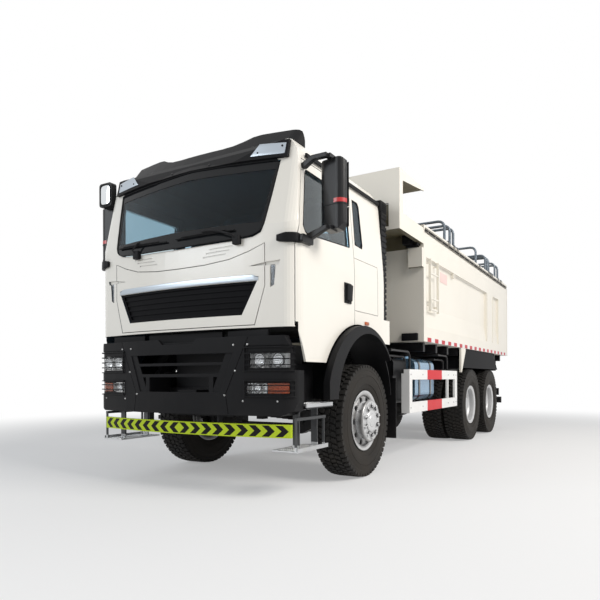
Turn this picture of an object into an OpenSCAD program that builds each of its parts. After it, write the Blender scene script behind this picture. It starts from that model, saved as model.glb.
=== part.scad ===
// Three-axle tipper truck with a forward-control cab and a rear-tipping steel body.
// +X is the truck's left, -Y its front, +Z up; the ground is z = 0. Millimetres.

/* [Chassis] */
// Front axle to first drive axle
wheelbase = 3825; // [3400:25:4600]
// Distance between the two drive axles
tandem = 1350; // [1300:10:1450]
// Front of the bumper to the front axle
front_overhang = 1460; // [1400:10:1550]
// Second drive axle to the rearmost point
rear_overhang = 1765; // [1700:5:1900]
// Outer width over the two frame rails
frame_w = 850; // [760:10:900]
// Height of the frame rails' top face
frame_top = 1050; // [1000:10:1100]
// Height of the frame rail section
rail_h = 280; // [240:10:320]

/* [Wheels] */
// Outer radius of a tyre, to the tips of its tread
tyre_r = 561; // [540:1:580]
// Section width of a tyre
tyre_w = 313; // [290:1:330]
// Radius of the rim's flange
rim_r = 299; // [290:1:305]
// Centre plane of a front tyre, from the middle of the truck
front_tyre_x = 1000; // [980:5:1020]
// Centre plane of an outer rear tyre
rear_tyre_x = 1092; // [1080:1:1100]
// Distance between the centre planes of twin tyres
twin_pitch = 345; // [335:1:350]
// Kingpin, from the middle of the truck
kingpin_x = 815; // [800:5:820]

/* [Cab] */
// Width of the cab over its sides
cab_w = 2300; // [2200:10:2360]
// Wall thickness of cab and doors
cab_wall = 60; // [40:5:70]
// Height of the cab's floor underside
cab_floor_z = 1400; // [1380:10:1440]
// Height of the roof
cab_roof_z = 3090; // [3050:10:3120]
// Rear of the cab, behind the front axle
cab_rear_y = 450; // [400:10:500]
// Front edge of a door, ahead of the front axle
door_front_y = -1287; // [-1295:1:-1270]
// Rear edge of a door
door_rear_y = -270; // [-290:5:-250]
// Lean of the windscreen
screen_lean = 13; // [10:1:16]

/* [Tipping body] */
// Outer width of the body
bed_w = 2440; // [2400:10:2480]
// Underside of the body's side
bed_low_z = 1440; // [1430:5:1480]
// Top of the body's side rail
bed_top_z = 2830; // [2700:10:2850]
// Front face of the body's front wall
bed_front_y = 1560; // [1540:10:1600]
// Rear end of the body's sides
bed_rear_y = 6800; // [6750:10:6850]
// Top of the headboard
headboard_z = 3330; // [3280:10:3360]
// Tipping hinge behind the front axle
tip_hinge_y = 6350; // [6300:10:6450]
// Height of the tipping hinge
tip_hinge_z = 1150; // [1120:10:1180]

/* [Hidden] */
$fn = 48;
// Row position of the front axle, which puts the middle of the truck's length at y = 0
front_axle_y = -(wheelbase + tandem + rear_overhang - front_overhang) / 2;
axle_1_y = wheelbase;
axle_2_y = wheelbase + tandem;
frame_front_y = -1180;
frame_rear_y = 6450;
rail_t = 8;
rail_flange = 80;
gap = 6;
far = 9000;
hoist_y = 1060;
hoist_z = 1000;

// Paint colours
c_cream = [0.93, 0.91, 0.85];
c_black = [0.08, 0.08, 0.09];
c_rubber = [0.10, 0.10, 0.10];
c_steel = [0.70, 0.71, 0.72];
c_glass = [0.25, 0.32, 0.36];
c_dark = [0.16, 0.16, 0.17];

// Everything is drawn with y measured from the front axle, then moved to the row frame
module painted(c) color(c) translate([0, front_axle_y, 0]) children();
module both_sides() {
    children();
    mirror([1, 0, 0]) children();
}
// A box given by its two corners
module block(a, b) translate(a) cube(b - a);
// A round bar along X, Y or Z from a point
module rod_x(p, r, l) translate(p) rotate([0, 90, 0]) cylinder(r = r, h = l);
module rod_y(p, r, l) translate(p) rotate([-90, 0, 0]) cylinder(r = r, h = l);
module rod_z(p, r, l) translate(p) cylinder(r = r, h = l);
// A profile drawn as [y, z] points, extruded along X from x0 to x1
module along_x(x0, x1, pts) {
    translate([x0, 0, 0]) rotate([90, 0, 90]) linear_extrude(x1 - x0) polygon(pts);
}
// A profile drawn as [x, z] points, extruded along Y from y0 to y1
module along_y(y0, y1, pts) {
    translate([0, y1, 0]) rotate([90, 0, 0]) linear_extrude(y1 - y0) polygon(pts);
}
// Points of a circular arc from angle a0 to a1 in n steps
function arc(c, r, a0, a1, n) =
    [for (i = [0 : n]) let (a = a0 + (a1 - a0) * i / n) [c[0] + r * cos(a), c[1] + r * sin(a)]];
// Mirrors a run of [x, z] points to the other side and joins the two
function both_halves(p) = concat(p, [for (i = [len(p) - 1 : -1 : 0]) [-p[i][0], p[i][1]]]);
// A box with its four edges along X rounded
module round_block_x(a, b, r) {
    along_x(a[0], b[0], concat(
        arc([b[1] - r, b[2] - r], r, 0, 90, 6), arc([a[1] + r, b[2] - r], r, 90, 180, 6),
        arc([a[1] + r, a[2] + r], r, 180, 270, 6), arc([b[1] - r, a[2] + r], r, 270, 360, 6)));
}

// A box with its four edges along Y rounded
module round_block_y(a, b, r) {
    along_y(a[1], b[1], concat(
        arc([b[0] - r, b[2] - r], r, 0, 90, 6), arc([a[0] + r, b[2] - r], r, 90, 180, 6),
        arc([a[0] + r, a[2] + r], r, 180, 270, 6), arc([b[0] - r, a[2] + r], r, 270, 360, 6)));
}

// ---------------------------------------------------------------- frame
module frame_rail() {
    x1 = frame_w / 2;
    z0 = frame_top - rail_h;
    difference() {
        block([x1 - rail_flange, frame_front_y, z0], [x1, frame_rear_y, frame_top]);
        block([x1 - rail_flange - 1, frame_front_y - 1, z0 + rail_t],
              [x1 - rail_t, frame_rear_y + 1, frame_top - rail_t]);
    }
}
// Pressed cross member with round lightening holes
module cross_member(y, h = 200) {
    x1 = frame_w / 2 - rail_t;
    z0 = frame_top - rail_h / 2 - h / 2;
    difference() {
        block([-x1, y, z0], [x1, y + 80, z0 + h]);
        block([-x1 - 1, y + 8, z0 + 8], [x1 + 1, y + 81, z0 + h - 8]);
        for (x = [-220, 0, 220]) rod_y([x, y - 1, z0 + h / 2], 55, 12);
    }
}
module frame_rails() painted(c_dark) both_sides() {
    frame_rail();
    // Sub-frame beam that carries the tipping body
    block([340, 1500, frame_top], [420, 6240, 1180]);
}
module cross_members() painted(c_dark) {
    for (y = [860, 2300, 3300, 4460, 5700, 6300]) cross_member(y);
    // Ties between the sub-frame beams
    for (y = [1600, 2900, 4200, 5500]) block([-340, y, frame_top + 20], [340, y + 80, 1160]);
}
// Hinge bearing, trunnion bearing or bracket plate with a bore along X
module bearing_plate(a, b, y, z, r) difference() {
    block(a, b);
    rod_x([a[0] - 1, y, z], r, b[0] - a[0] + 2);
}
cab_pivot_y = -1300;
cab_pivot_z = 900;
module frame_fittings() painted(c_dark) {
    // Tipping hinge bearings on the rails' outer faces
    both_sides() bearing_plate([425, tip_hinge_y - 90, 980], [470, tip_hinge_y + 90, 1250],
        tip_hinge_y, tip_hinge_z, 40.3);
    // Bearings for the hoist's trunnions
    both_sides() bearing_plate([145, hoist_y - 60, hoist_z - 60], [195, hoist_y + 60, hoist_z + 60],
        hoist_y, hoist_z, 35.3);
    both_sides() block([195, hoist_y - 40, hoist_z - 35], [frame_w / 2 - rail_t, hoist_y + 40, hoist_z + 35]);
    // Brackets and pins that the cab tilts on
    both_sides() block([398, cab_pivot_y - 40, 860], [424, frame_front_y, 940]);
    both_sides() rod_x([400, cab_pivot_y, cab_pivot_z], 22, 100);
    // Front towing bracket with its vertical pin bore
    difference() {
        block([-110, -1330, 785], [110, frame_front_y + 60, 885]);
        rod_z([0, -1270, 780], 20, 110);
    }
    block([-417, frame_front_y, 785], [417, frame_front_y + 60, 900]);
    // Rear towing jaw
    difference() {
        block([-120, 6380, 800], [120, 6520, 960]);
        block([-80, 6420, 830], [80, 6521, 930]);
        rod_z([0, 6475, 790], 25, 180);
    }
    // Air reservoirs hung on the right rail
    for (y = [1600, 2220]) rod_y([-600, y, 830], 120, 560);
    for (y = [1700, 2020, 2320, 2640]) block([-600, y, 930], [-425, y + 40, 970]);
    // Rear under-run bar and its hangers
    block([-1150, 6560, 480], [1150, 6620, 600]);
    both_sides() block([360, 6430, 540], [415, 6562, 768]);
    both_sides() block([360, 6380, 600], [415, 6450, 768]);
}

// ---------------------------------------------------------------- engine
module engine() painted(c_dark) {
    // Engine block, plain, at its real size and place
    block([-330, -900, 640], [330, 420, 1340]);
    // Gearbox behind it
    block([-220, 420, 700], [220, 850, 1120]);
    // Radiator ahead of it
    block([-335, -1110, 640], [335, -990, 1320]);
}

// ---------------------------------------------------------------- front bumper
function front_bow(x, y0) = y0 + x * x / 11600;
// Plan of the bumper or the cab's front, inset by t: bowed front, round corners, straight sides
function plan_outline(hw, y0, r, y_rear, t) = let (
        cx = hw - r,
        cy = front_bow(cx, y0) + r,
        half = concat([[hw - t, y_rear]], arc([cx, cy], r - t, 0, -78, 8),
            [for (i = [5 : -1 : 0]) let (x = cx * i / 6) [x, front_bow(x, y0) + t]]))
    concat(half, [for (i = [len(half) - 2 : -1 : 0]) [-half[i][0], half[i][1]]]);
bumper_hw = 1125;
bumper_top = 1330;
bumper_low = 680;
// Bumper's outer shape inset by t: its ends lean in towards the top
module bumper_hull(t) intersection() {
    translate([0, 0, bumper_low - 1]) linear_extrude(bumper_top - bumper_low + 2)
        polygon(plan_outline(bumper_hw, -front_overhang, 120, -1170, t));
    along_y(-1600, -1000, both_halves([
        [0, bumper_low - 9], [1000 - t, bumper_low - 9], [bumper_hw - 12 - t, 718], [bumper_hw - t, 790],
        [bumper_hw - t, 1100], [bumper_hw - 22 - t, 1230], [1052 - t, 1345], [0, 1345]]));
}
// Front view of the mouth
mouth_pts = both_halves([[0, 868], [470, 868], [595, 1196], [0, 1196]]);
module front_bumper() painted(c_black) {
    difference() {
        intersection() {
            difference() {
                bumper_hull(0);
                bumper_hull(25);
            }
            along_y(-1600, -1100, both_halves([
                [0, bumper_low], [1200, bumper_low], [1200, bumper_top],
                [225, bumper_top], [175, 1284], [0, 1284]]));
        }
        // The ends stop ahead of the doors above the steps
        block([-1200, -1297, 1050], [1200, -1100, 1400]);
        along_y(-1600, -1100, mouth_pts);
        // Lamp openings
        both_sides() block([745, -1600, 1068], [1090, -1250, 1198]);
        both_sides() block([715, -1600, 860], [1090, -1250, 950]);
        // Shallow fields round the lamps and the seam beside the mouth
        both_sides() difference() {
            union() {
                block([728, -1600, 1046], [1200, -1299, 1250]);
                block([700, -1600, 836], [1200, -1299, 970]);
                along_y(-1600, -1100, [[738, 1331], [744, 1331], [526, 852], [552, 690], [546, 690], [520, 852]]);
            }
            bumper_hull(7);
        }
    }
    // Mouth bars
    intersection() {
        difference() {
            bumper_hull(8);
            bumper_hull(24.9);
        }
        union() {
            block([-545, -1600, 998], [545, -1300, 1026]);
            block([-580, -1600, 1098], [580, -1300, 1122]);
            both_sides() along_y(-1600, -1300, [[380, 868], [471, 868], [600, 1196], [520, 1196]]);
        }
    }
    // Wire guards round the lamps, standing off the corners
    both_sides() intersection() {
        difference() {
            bumper_hull(-14);
            bumper_hull(-6);
        }
        union() {
            for (z = [1046, 1094, 1142, 1190, 1238, 836, 884, 928, 966])
                block([705, -1600, z - 4], [1200, -1299, z + 4]);
            block([705, -1600, 1042], [713, -1300, 1242]);
            block([705, -1600, 832], [713, -1300, 970]);
        }
    }
    both_sides() for (z = [1046, 1238, 836, 966]) {
        block([700, -1430, z - 6], [713, -1395, z + 6]);
        block([1052, -1312, z - 6], [1124, -1300, z + 6]);
    }
    // Brackets back to the rails
    both_sides() block([350, -1440, 700], [394, frame_front_y, 1000]);
    // Ledge and upright panel that close the space under the cab, slotted for the cab's arms
    difference() {
        union() {
            intersection() {
                bumper_hull(20);
                block([-900, -1600, 1285], [900, -1330, 1300]);
            }
            block([-900, -1362, 1285], [900, -1332, 1384]);
        }
        both_sides() block([430, -1395, 1280], [490, -1300, 1400]);
    }
}
module front_lamps() painted([0.85, 0.87, 0.88]) {
    intersection() {
        difference() {
            bumper_hull(12);
            bumper_hull(110);
        }
        both_sides() {
            block([747, -1600, 1070], [1083, -1200, 1196]);
            block([717, -1600, 862], [1083, -1200, 948]);
        }
    }
}
module chevron_bar() painted([0.80, 0.85, 0.10]) {
    // Bowed plate below the bumper
    intersection() {
        translate([0, 0, 503]) linear_extrude(108)
            polygon(concat(
                [for (i = [-8 : 8]) let (x = 1083 * i / 8) [x, -1430 + x * x / 9700]],
                [for (i = [8 : -1 : -8]) let (x = 1083 * i / 8) [x, -1400 + x * x / 9700]]));
        block([-1083, -1500, 500], [1083, -1200, 620]);
    }
    // Carrier brackets
    both_sides() block([395, -1392, 520], [415, -1340, 699]);
}

// ---------------------------------------------------------------- steps and mudguards
module cab_steps() painted(c_steel) both_sides() {
    // Upper step: a folded tread with a turned-down lip
    block([985, -1166, 757], [1145, -710, 775]);
    block([1133, -1166, 735], [1145, -710, 758]);
    // Lower step: tread, top bar and hangers
    block([890, -1290, 385], [1140, -790, 397]);
    block([1130, -1290, 396], [1140, -790, 420]);
    block([1098, -1282, 640], [1122, -800, 664]);
    for (y = [-1276, -824]) block([1100, y - 6, 396], [1120, y + 6, 641]);
    for (y = [-1140, -840]) block([1000, y - 8, 396], [1060, y + 8, 758]);
    for (y = [-1140, -840]) block([1059, y - 8, 640], [1099, y + 8, 664]);
}
arch_c = [-60, 740];
arch_r = 680;
flare_c = [-150, 700];
flare_r = 805;
module front_mudguards() painted(c_black) both_sides() {
    // Flare band round the front wheel, standing out past the cab's side
    intersection() {
        translate([1156, 0, 0]) rotate([90, 0, 90]) linear_extrude(64) difference() {
            translate(flare_c) circle(r = flare_r - 14, $fn = 96);
            translate(arch_c) circle(r = arch_r, $fn = 96);
        }
        block([1100, -900, 800], [1300, 470, 1600]);
    }
    // Inner guard sheet over the tyre
    intersection() {
        translate([780, 0, 0]) rotate([90, 0, 90]) linear_extrude(377) difference() {
            translate(arch_c) circle(r = arch_r + 14, $fn = 96);
            translate(arch_c) circle(r = arch_r, $fn = 96);
        }
        block([700, -900, 800], [1300, 640, 1600]);
    }
    // Panel behind the steps
    block([900, -1160, 776], [985, -790, 1110]);
    // Mud flap
    block([850, 690, 320], [1190, 700, 1010]);
    block([850, 600, 985], [1190, 700, 1010]);
    // Stays back to the rail
    block([425, 640, 1000], [860, 680, 1025]);
    block([425, -860, 900], [905, -820, 925]);
}

// ---------------------------------------------------------------- axles
module leaf_pack(x, y, z, l, n) {
    for (i = [0 : n - 1]) let (h = l / 2 - i * l / (2 * n + 2)) {
        block([x - 45, y - h, z - 14 * i - 12], [x + 45, y + h, z - 14 * i + 2.01]);
    }
}
module front_axle() painted(c_dark) {
    // Drop-forged beam
    along_y(-50, 50, both_halves([[0, 400], [420, 400], [560, 470], [800, 500], [805, 500],
        [805, 610], [700, 600], [520, 560], [400, 500], [0, 500]]));
    both_sides() rod_z([kingpin_x, 0, 480], 62, 140);
    both_sides() block([790, -45, 490], [kingpin_x, 45, 610]);
    both_sides() leaf_pack(400, 0, 640, 1500, 6);
    both_sides() block([360, -60, 500], [440, 60, 560]);
    both_sides() for (y = [-720, 720]) block([350, y - 40, 600], [425, y + 40, frame_top - rail_h]);
}
module drive_axle(y) {
    // Round tubes and a banjo middle
    rod_x([-560, y, tyre_r], 85, 1120);
    translate([0, y, tyre_r]) rotate([90, 0, 0]) cylinder(r = 215, h = 260, center = true);
    translate([0, y - 130, tyre_r]) rotate([90, 0, 0]) cylinder(r1 = 170, r2 = 90, h = 160);
}
module drive_axles() painted(c_dark) {
    drive_axle(axle_1_y);
    drive_axle(axle_2_y);
    // Balance springs between the two axles
    both_sides() leaf_pack(400, (axle_1_y + axle_2_y) / 2, 760, 1500, 7);
    both_sides() for (y = [axle_1_y, axle_2_y]) block([355, y - 60, 600], [445, y + 60, 750]);
    both_sides() block([350, (axle_1_y + axle_2_y) / 2 - 90, 480], [425, (axle_1_y + axle_2_y) / 2 + 90, 770]);
    rod_x([-425, (axle_1_y + axle_2_y) / 2, 560], 55, 850);
    // Propeller shafts
    rod_y([0, 1190, 700], 55, 2300);
    translate([0, 3480, 700]) rotate([-90, 0, 0]) cylinder(r = 60, h = 150);
    rod_y([0, axle_1_y + 130, 700], 50, tandem - 260);
}
module knuckle() {
    // Fork round the beam's end, spindle and brake plate
    difference() {
        union() {
            block([kingpin_x - 60, -60, 430], [kingpin_x + 70, 60, 670]);
            rod_x([kingpin_x + 50, 0, tyre_r], 130, 20);
        }
        block([kingpin_x - 80, -75, 474], [kingpin_x + 66, 75, 626]);
    }
    rod_z([kingpin_x, 0, 425], 30, 54);
    rod_z([kingpin_x, 0, 621], 30, 54);
    rod_x([kingpin_x + 66, 0, tyre_r], 45, 100);
    // Steering arm to the track rod
    along_z_arm();
}
module along_z_arm() {
    block([kingpin_x - 22, 50, 440], [kingpin_x + 22, 240, 464]);
    rod_z([kingpin_x, 240, 440], 24, 24);
}
module knuckle_left() painted(c_dark) knuckle();
module knuckle_right() painted(c_dark) mirror([1, 0, 0]) knuckle();
module track_rod() painted(c_dark) {
    rod_x([-kingpin_x, 240, 412], 18, 2 * kingpin_x);
    both_sides() rod_z([kingpin_x, 240, 392], 24, 47);
}

// ---------------------------------------------------------------- wheels
// Tyre section, x across and r outward, from the middle of the tread to the bead
function tyre_half() = concat(
    [[tyre_w * 0.36, tyre_r]], arc([tyre_w * 0.36, tyre_r - 34], 34, 90, 20, 5),
    [[tyre_w / 2 - 2, tyre_r - 110], [tyre_w / 2, tyre_r - 150], [tyre_w / 2 - 6, tyre_r - 205],
     [tyre_w / 2 - 26, tyre_r - 245], [tyre_w / 2 - 48, rim_r - 8], [tyre_w / 2 - 48, rim_r - 34]]);
module tyre() {
    h = tyre_half();
    rotate([0, 90, 0]) rotate_extrude($fn = 96) polygon(concat(
        [for (p = h) [p[1], p[0]]], [for (i = [len(h) - 1 : -1 : 0]) [h[i][1], -h[i][0]]]));
}
rim_w = 226;
// Rim: flanges, bead seats and drop centre
module rim() {
    w = rim_w / 2;
    rotate([0, 90, 0]) rotate_extrude($fn = 96) polygon([
        [rim_r, w + 20], [rim_r, w + 12], [rim_r - 36, w - 2], [rim_r - 38, 20], [rim_r - 60, 0],
        [rim_r - 60, -20], [rim_r - 38, -45], [rim_r - 36, 2 - w], [rim_r, -12 - w], [rim_r, -20 - w],
        [rim_r - 8, -20 - w], [rim_r - 46, -8 - w], [rim_r - 48, -50], [rim_r - 70, -25],
        [rim_r - 70, 5], [rim_r - 48, 28], [rim_r - 46, w + 8], [rim_r - 8, w + 20]]);
}
// Dished disc with hand holes; the offset is the disc's centre plane
module wheel_disc(offset) {
    difference() {
        rotate([0, 90, 0]) rotate_extrude($fn = 96) polygon([
            [140, offset], [190, offset - 2], [rim_r - 50, offset - 70], [rim_r - 50, offset - 82],
            [190, offset - 16], [140, offset - 14]]);
        for (i = [0 : 9]) rotate([i * 36, 0, 0]) rod_x([offset - 120, 218, 0], 20, 160);
    }
}
module front_wheel() {
    rim();
    // Outset disc with round hand holes
    difference() {
        rotate([0, 90, 0]) rotate_extrude($fn = 96) polygon([
            [150, 122], [232, 118], [254, 102], [254, 88], [228, 105], [150, 109]]);
        for (i = [0 : 9]) rotate([i * 36, 0, 0]) rod_x([60, 214, 0], 30, 100);
    }
    // Hub shell that stands out past the rim, its edge rounded, round the bearing housing
    difference() {
        union() {
            rotate([0, 90, 0]) rotate_extrude($fn = 96) polygon([
                [90, -55], [165, -55], [165, 105], [178, 124], [202, 172], [211, 183], [210, 193],
                [203, 200], [150, 200], [142, 196], [112, 196], [104, 204], [90, 204]]);
            rod_x([-60, 0, 0], 97, 269);
        }
        rod_x([-61, 0, 0], 46, 120);
        rod_x([-61, 0, 0], 135, 61);
    }
    // Wheel nuts
    for (i = [0 : 9]) rotate([i * 36 + 18, 0, 0]) rod_x([199, 167, 0], 15, 18);
}
module at_front_hub() translate([front_tyre_x, 0, tyre_r]) children();
module front_tyre_left() painted(c_rubber) at_front_hub() tyre();
module front_tyre_right() painted(c_rubber) mirror([1, 0, 0]) at_front_hub() tyre();
module front_wheel_left() painted(c_steel) at_front_hub() front_wheel();
module front_wheel_right() painted(c_steel) mirror([1, 0, 0]) at_front_hub() front_wheel();
module twin_tyres(y) {
    for (x = [rear_tyre_x, rear_tyre_x - twin_pitch]) translate([x, y, tyre_r]) tyre();
}
module twin_wheels(y) {
    translate([rear_tyre_x, y, tyre_r]) mirror([1, 0, 0]) {
        rim();
        wheel_disc(165);
    }
    translate([rear_tyre_x - twin_pitch, y, tyre_r]) {
        rim();
        wheel_disc(150);
    }
    // Hub and drum
    difference() {
        union() {
            rod_x([rear_tyre_x - 240, y, tyre_r], 150, 170);
            rod_x([rear_tyre_x - 70, y, tyre_r], 115, 130);
            rod_x([600, y, tyre_r], 195, 253);
        }
        rod_x([599, y, tyre_r], 150, 200);
    }
}
module drive_tyres_1_left() painted(c_rubber) twin_tyres(axle_1_y);
module drive_tyres_1_right() painted(c_rubber) mirror([1, 0, 0]) twin_tyres(axle_1_y);
module drive_tyres_2_left() painted(c_rubber) twin_tyres(axle_2_y);
module drive_tyres_2_right() painted(c_rubber) mirror([1, 0, 0]) twin_tyres(axle_2_y);
module drive_wheels_1_left() painted(c_steel) twin_wheels(axle_1_y);
module drive_wheels_1_right() painted(c_steel) mirror([1, 0, 0]) twin_wheels(axle_1_y);
module drive_wheels_2_left() painted(c_steel) twin_wheels(axle_2_y);
module drive_wheels_2_right() painted(c_steel) mirror([1, 0, 0]) twin_wheels(axle_2_y);

// ---------------------------------------------------------------- side equipment
module fuel_tank() painted(c_steel) {
    round_block_y([560, 1560, 700], [1100, 2320, 1230], 95);
    // Straps, carriers and filler neck
    for (y = [1700, 2140]) difference() {
        round_block_y([554, y, 694], [1106, y + 50, 1236], 101);
        round_block_y([560, y - 1, 700], [1100, y + 51, 1230], 95);
    }
    for (y = [1705, 2145]) block([430, y, 760], [555, y + 40, 1000]);
    rod_z([960, 1610, 1200], 50, 60);
}
module battery_box() painted(c_black) {
    round_block_y([560, 860, 690], [1090, 1250, 1210], 60);
    // Lid's rim
    difference() {
        round_block_y([554, 852, 684], [1096, 872, 1216], 66);
        round_block_y([560, 840, 690], [1090, 873, 1210], 60);
    }
    block([430, 980, 760], [561, 1060, 1000]);
}
module silencer() painted(c_dark) {
    round_block_x([-1060, 860, 600], [-560, 1500, 1150], 90);
    block([-561, 1000, 800], [-430, 1080, 1000]);
    rod_x([-561, 1200, 850], 50, 134);
}
// Bent tube that runs back and turns down at the point [y, z]
module hoop(x, y0, y, z, low) {
    rod_y([x, y0, z], 13, y - 80 - y0);
    translate([x, y - 80, z - 80]) rotate([0, -90, 0]) rotate_extrude(angle = 90) translate([80, 0]) circle(r = 13);
    rod_z([x, y, low], 13, z - 80 - low);
}
module side_guard() {
    difference() {
        block([1185, 1055, 573], [1215, 3070, 1087]);
        block([1180, 1150, 700], [1220, 2590, 965]);
        block([1180, 2630, 700], [1220, 2955, 965]);
    }
    block([1115, 1055, 573], [1186, 1085, 1087]);
    for (y = [1508, 2860]) block([430, y, 1000], [1186, y + 40, 1040]);
}
module side_guards() painted(c_cream) {
    both_sides() side_guard();
    // Tubes over the left side's equipment, with their carrier
    block([430, 1295, 1000], [1186, 1335, 1040]);
    hoop(1120, 700, 1315, 1300, 1039);
    hoop(1060, 700, 1315, 1240, 1039);
    hoop(1120, 2420, 2880, 1300, 1039);
    hoop(1060, 2420, 2880, 1240, 1039);
    for (y = [700, 2420]) {
        block([430, y, 1050], [470, y + 20, 1313]);
        block([430, y, 1227], [1075, y + 20, 1253]);
        block([430, y, 1287], [1135, y + 20, 1313]);
    }
}
module tail_lamps() painted([0.7, 0.05, 0.05]) both_sides() {
    block([760, 6560, 640], [1100, 6610, 770]);
    block([430, 6500, 680], [761, 6560, 730]);
}

// ---------------------------------------------------------------- cab
// Outer shape of the cab, inset by t: side view, two plans (upright and leaning) and front view
module cab_hull(t) {
    hw = cab_w / 2;
    intersection() {
        along_x(-far, far, [
            [-1330 + t, 1120 - 1], [-1500, 1400], [-1500, 2600],
            [-1290 + t, 2790], [-1225 + t, 2915], [-1130 + t, 3000 - t * 0.6],
            [-980 + t * 0.6, 3058 - t], [-750, cab_roof_z - t], [-200, cab_roof_z - t],
            [300, cab_roof_z - 25 - t], [400 - t * 0.4, cab_roof_z - 60 - t],
            [cab_rear_y - 15 - t, cab_roof_z - 150], [cab_rear_y - t, cab_roof_z - 300],
            [cab_rear_y - t, 1119]]);
        along_y(-far, far, both_halves([
            [0, cab_roof_z - t], [650, cab_roof_z - 14 - t], [880, cab_roof_z - 50 - t],
            [1010 - t * 0.6, cab_roof_z - 120 - t * 0.8], [1070 - t, cab_roof_z - 210],
            [hw - 62 - t, 2780], [hw - 6 - t, 2120], [hw - t, 1980], [hw - t, 1118]]));
        translate([0, 0, 1100]) linear_extrude(far)
            polygon(plan_outline(hw, -1425, 140, 1000, t));
        translate([0, 0, 2150]) rotate([-screen_lean, 0, 0]) translate([0, 0, -1600])
            linear_extrude(far) polygon(plan_outline(hw + 10, -1410, 150, 4000, t));
    }
}
module arch_cut(r) translate([-far, 0, 0]) rotate([90, 0, 90]) translate(flare_c)
    cylinder(r = r, h = 2 * far, $fn = 96);
module skin(t) difference() {
    cab_hull(0);
    cab_hull(t);
}
// Side view of a door, grown by g: its front edge leans with the windscreen's pillar
module door_prism(g) {
    along_x(980, far, [
        [door_front_y - g, 1420 - g], [door_front_y - g, 2060],
        [door_front_y + 150 - g, 2800 + g], [door_rear_y - 20 + g, 2800 + g],
        [door_rear_y + g, 2780 + g], [door_rear_y + g, 1120 - g], [-1180 - g, 1120 - g]]);
}
// Side view of a door's window
function window_pts(g) = [
    [-1200 + g, 2230 + g], [-1170 + g, 2180 + g], [-1130 + g, 2165 + g], [-350 - g, 2215 + g],
    [-335 - g, 2235 + g], [-335 - g, 2720 - g], [-1080 + g, 2730 - g], [-1105 + g, 2700 - g]];
function quarter_pts(g) = [
    [-225 + g, 2270 + g], [-60 - g, 2260 + g], [-40 - g, 2300 + g], [-60 - g, 2680 - g],
    [-90 - g, 2720 - g], [-215 + g, 2720 - g]];
function screen_pts(g) = both_halves([
    [0, 2118 + g], [560, 2128 + g], [760 - g, 2145 + g], [835 - g, 2175 + g], [868 - g, 2240 + g],
    [905 - g, 2500], [940 - g, 2795 - g], [0, 2842 - g]]);
function flap_pts(g) = both_halves([
    [0, 1422 + g], [772 - g, 1426 + g], [866 - g, 1740], [866 - g, 2082 - g], [720, 2025 - g],
    [535, 1975 - g], [279, 1950 - g], [0, 1945 - g]]);
// Recess at the cab's front corner, over and beside its upright lamp
module corner_recess() difference() {
    both_sides() {
        along_y(-far, -1000, [[915, 1722], [952, 1740], [968, 1908], [915, 1908]]);
        along_y(-far, -1000, [[720, 1906], [990, 1900], [1005, 1938], [880, 1930]]);
    }
    cab_hull(16);
}
module cab_shell() painted(c_cream) {
    difference() {
        intersection() {
            skin(cab_wall);
            block([-far, -far, cab_floor_z], [far, far, far]);
        }
        both_sides() door_prism(gap);
        // Windscreen, quarter windows and rear window
        along_y(-far, -900, screen_pts(0));
        along_x(-far, far, quarter_pts(0));
        block([-500, 300, 2250], [500, 600, 2650]);
        // Recess for the front flap
        difference() {
            along_y(-far, -1100, flap_pts(-gap));
            cab_hull(46);
        }
        arch_cut(flare_r);
        // Seams of the side hatch, slanted louvres and corner lamp recesses
        difference() {
            union() {
                both_sides() difference() {
                    along_x(1000, far, [[-264, 1630], [292, 1630], [292, 2140], [-264, 2140]]);
                    along_x(990, far + 10, [[-265, 1635], [287, 1635], [287, 2135], [-265, 2135]]);
                }
                for (i = [0 : 2]) both_sides() along_y(-far, -1000, [
                    [342 - 36 * i, 2074 - 31 * i], [572 - 34 * i, 2083 - 31 * i],
                    [572 - 34 * i, 2092 - 31 * i], [342 - 36 * i, 2083 - 31 * i]]);
            }
            cab_hull(5);
        }
        corner_recess();
    }
    // Floor with its sides let into the walls
    difference() {
        intersection() {
            cab_hull(cab_wall - 1);
            block([-far, -far, 1450], [far, far, 1520]);
        }
        arch_cut(flare_r);
        both_sides() door_prism(gap);
    }
    // Lower rear quarter panels behind the wheels
    both_sides() difference() {
        block([1120, -262, 1350], [1150, 610, 1605]);
        arch_cut(flare_r);
    }
}
// Arms that carry the cab's front on its tilting pins
module cab_pivots() painted(c_dark) both_sides() difference() {
    along_x(440, 480, [
        [cab_pivot_y - 45, cab_pivot_z - 45], [cab_pivot_y + 45, cab_pivot_z - 45],
        [-930, 1190], [-930, 1450], [-1010, 1450], [-1010, 1260], [cab_pivot_y - 45, cab_pivot_z + 45]]);
    rod_x([430, cab_pivot_y, cab_pivot_z], 22.3, 60);
}
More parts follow.
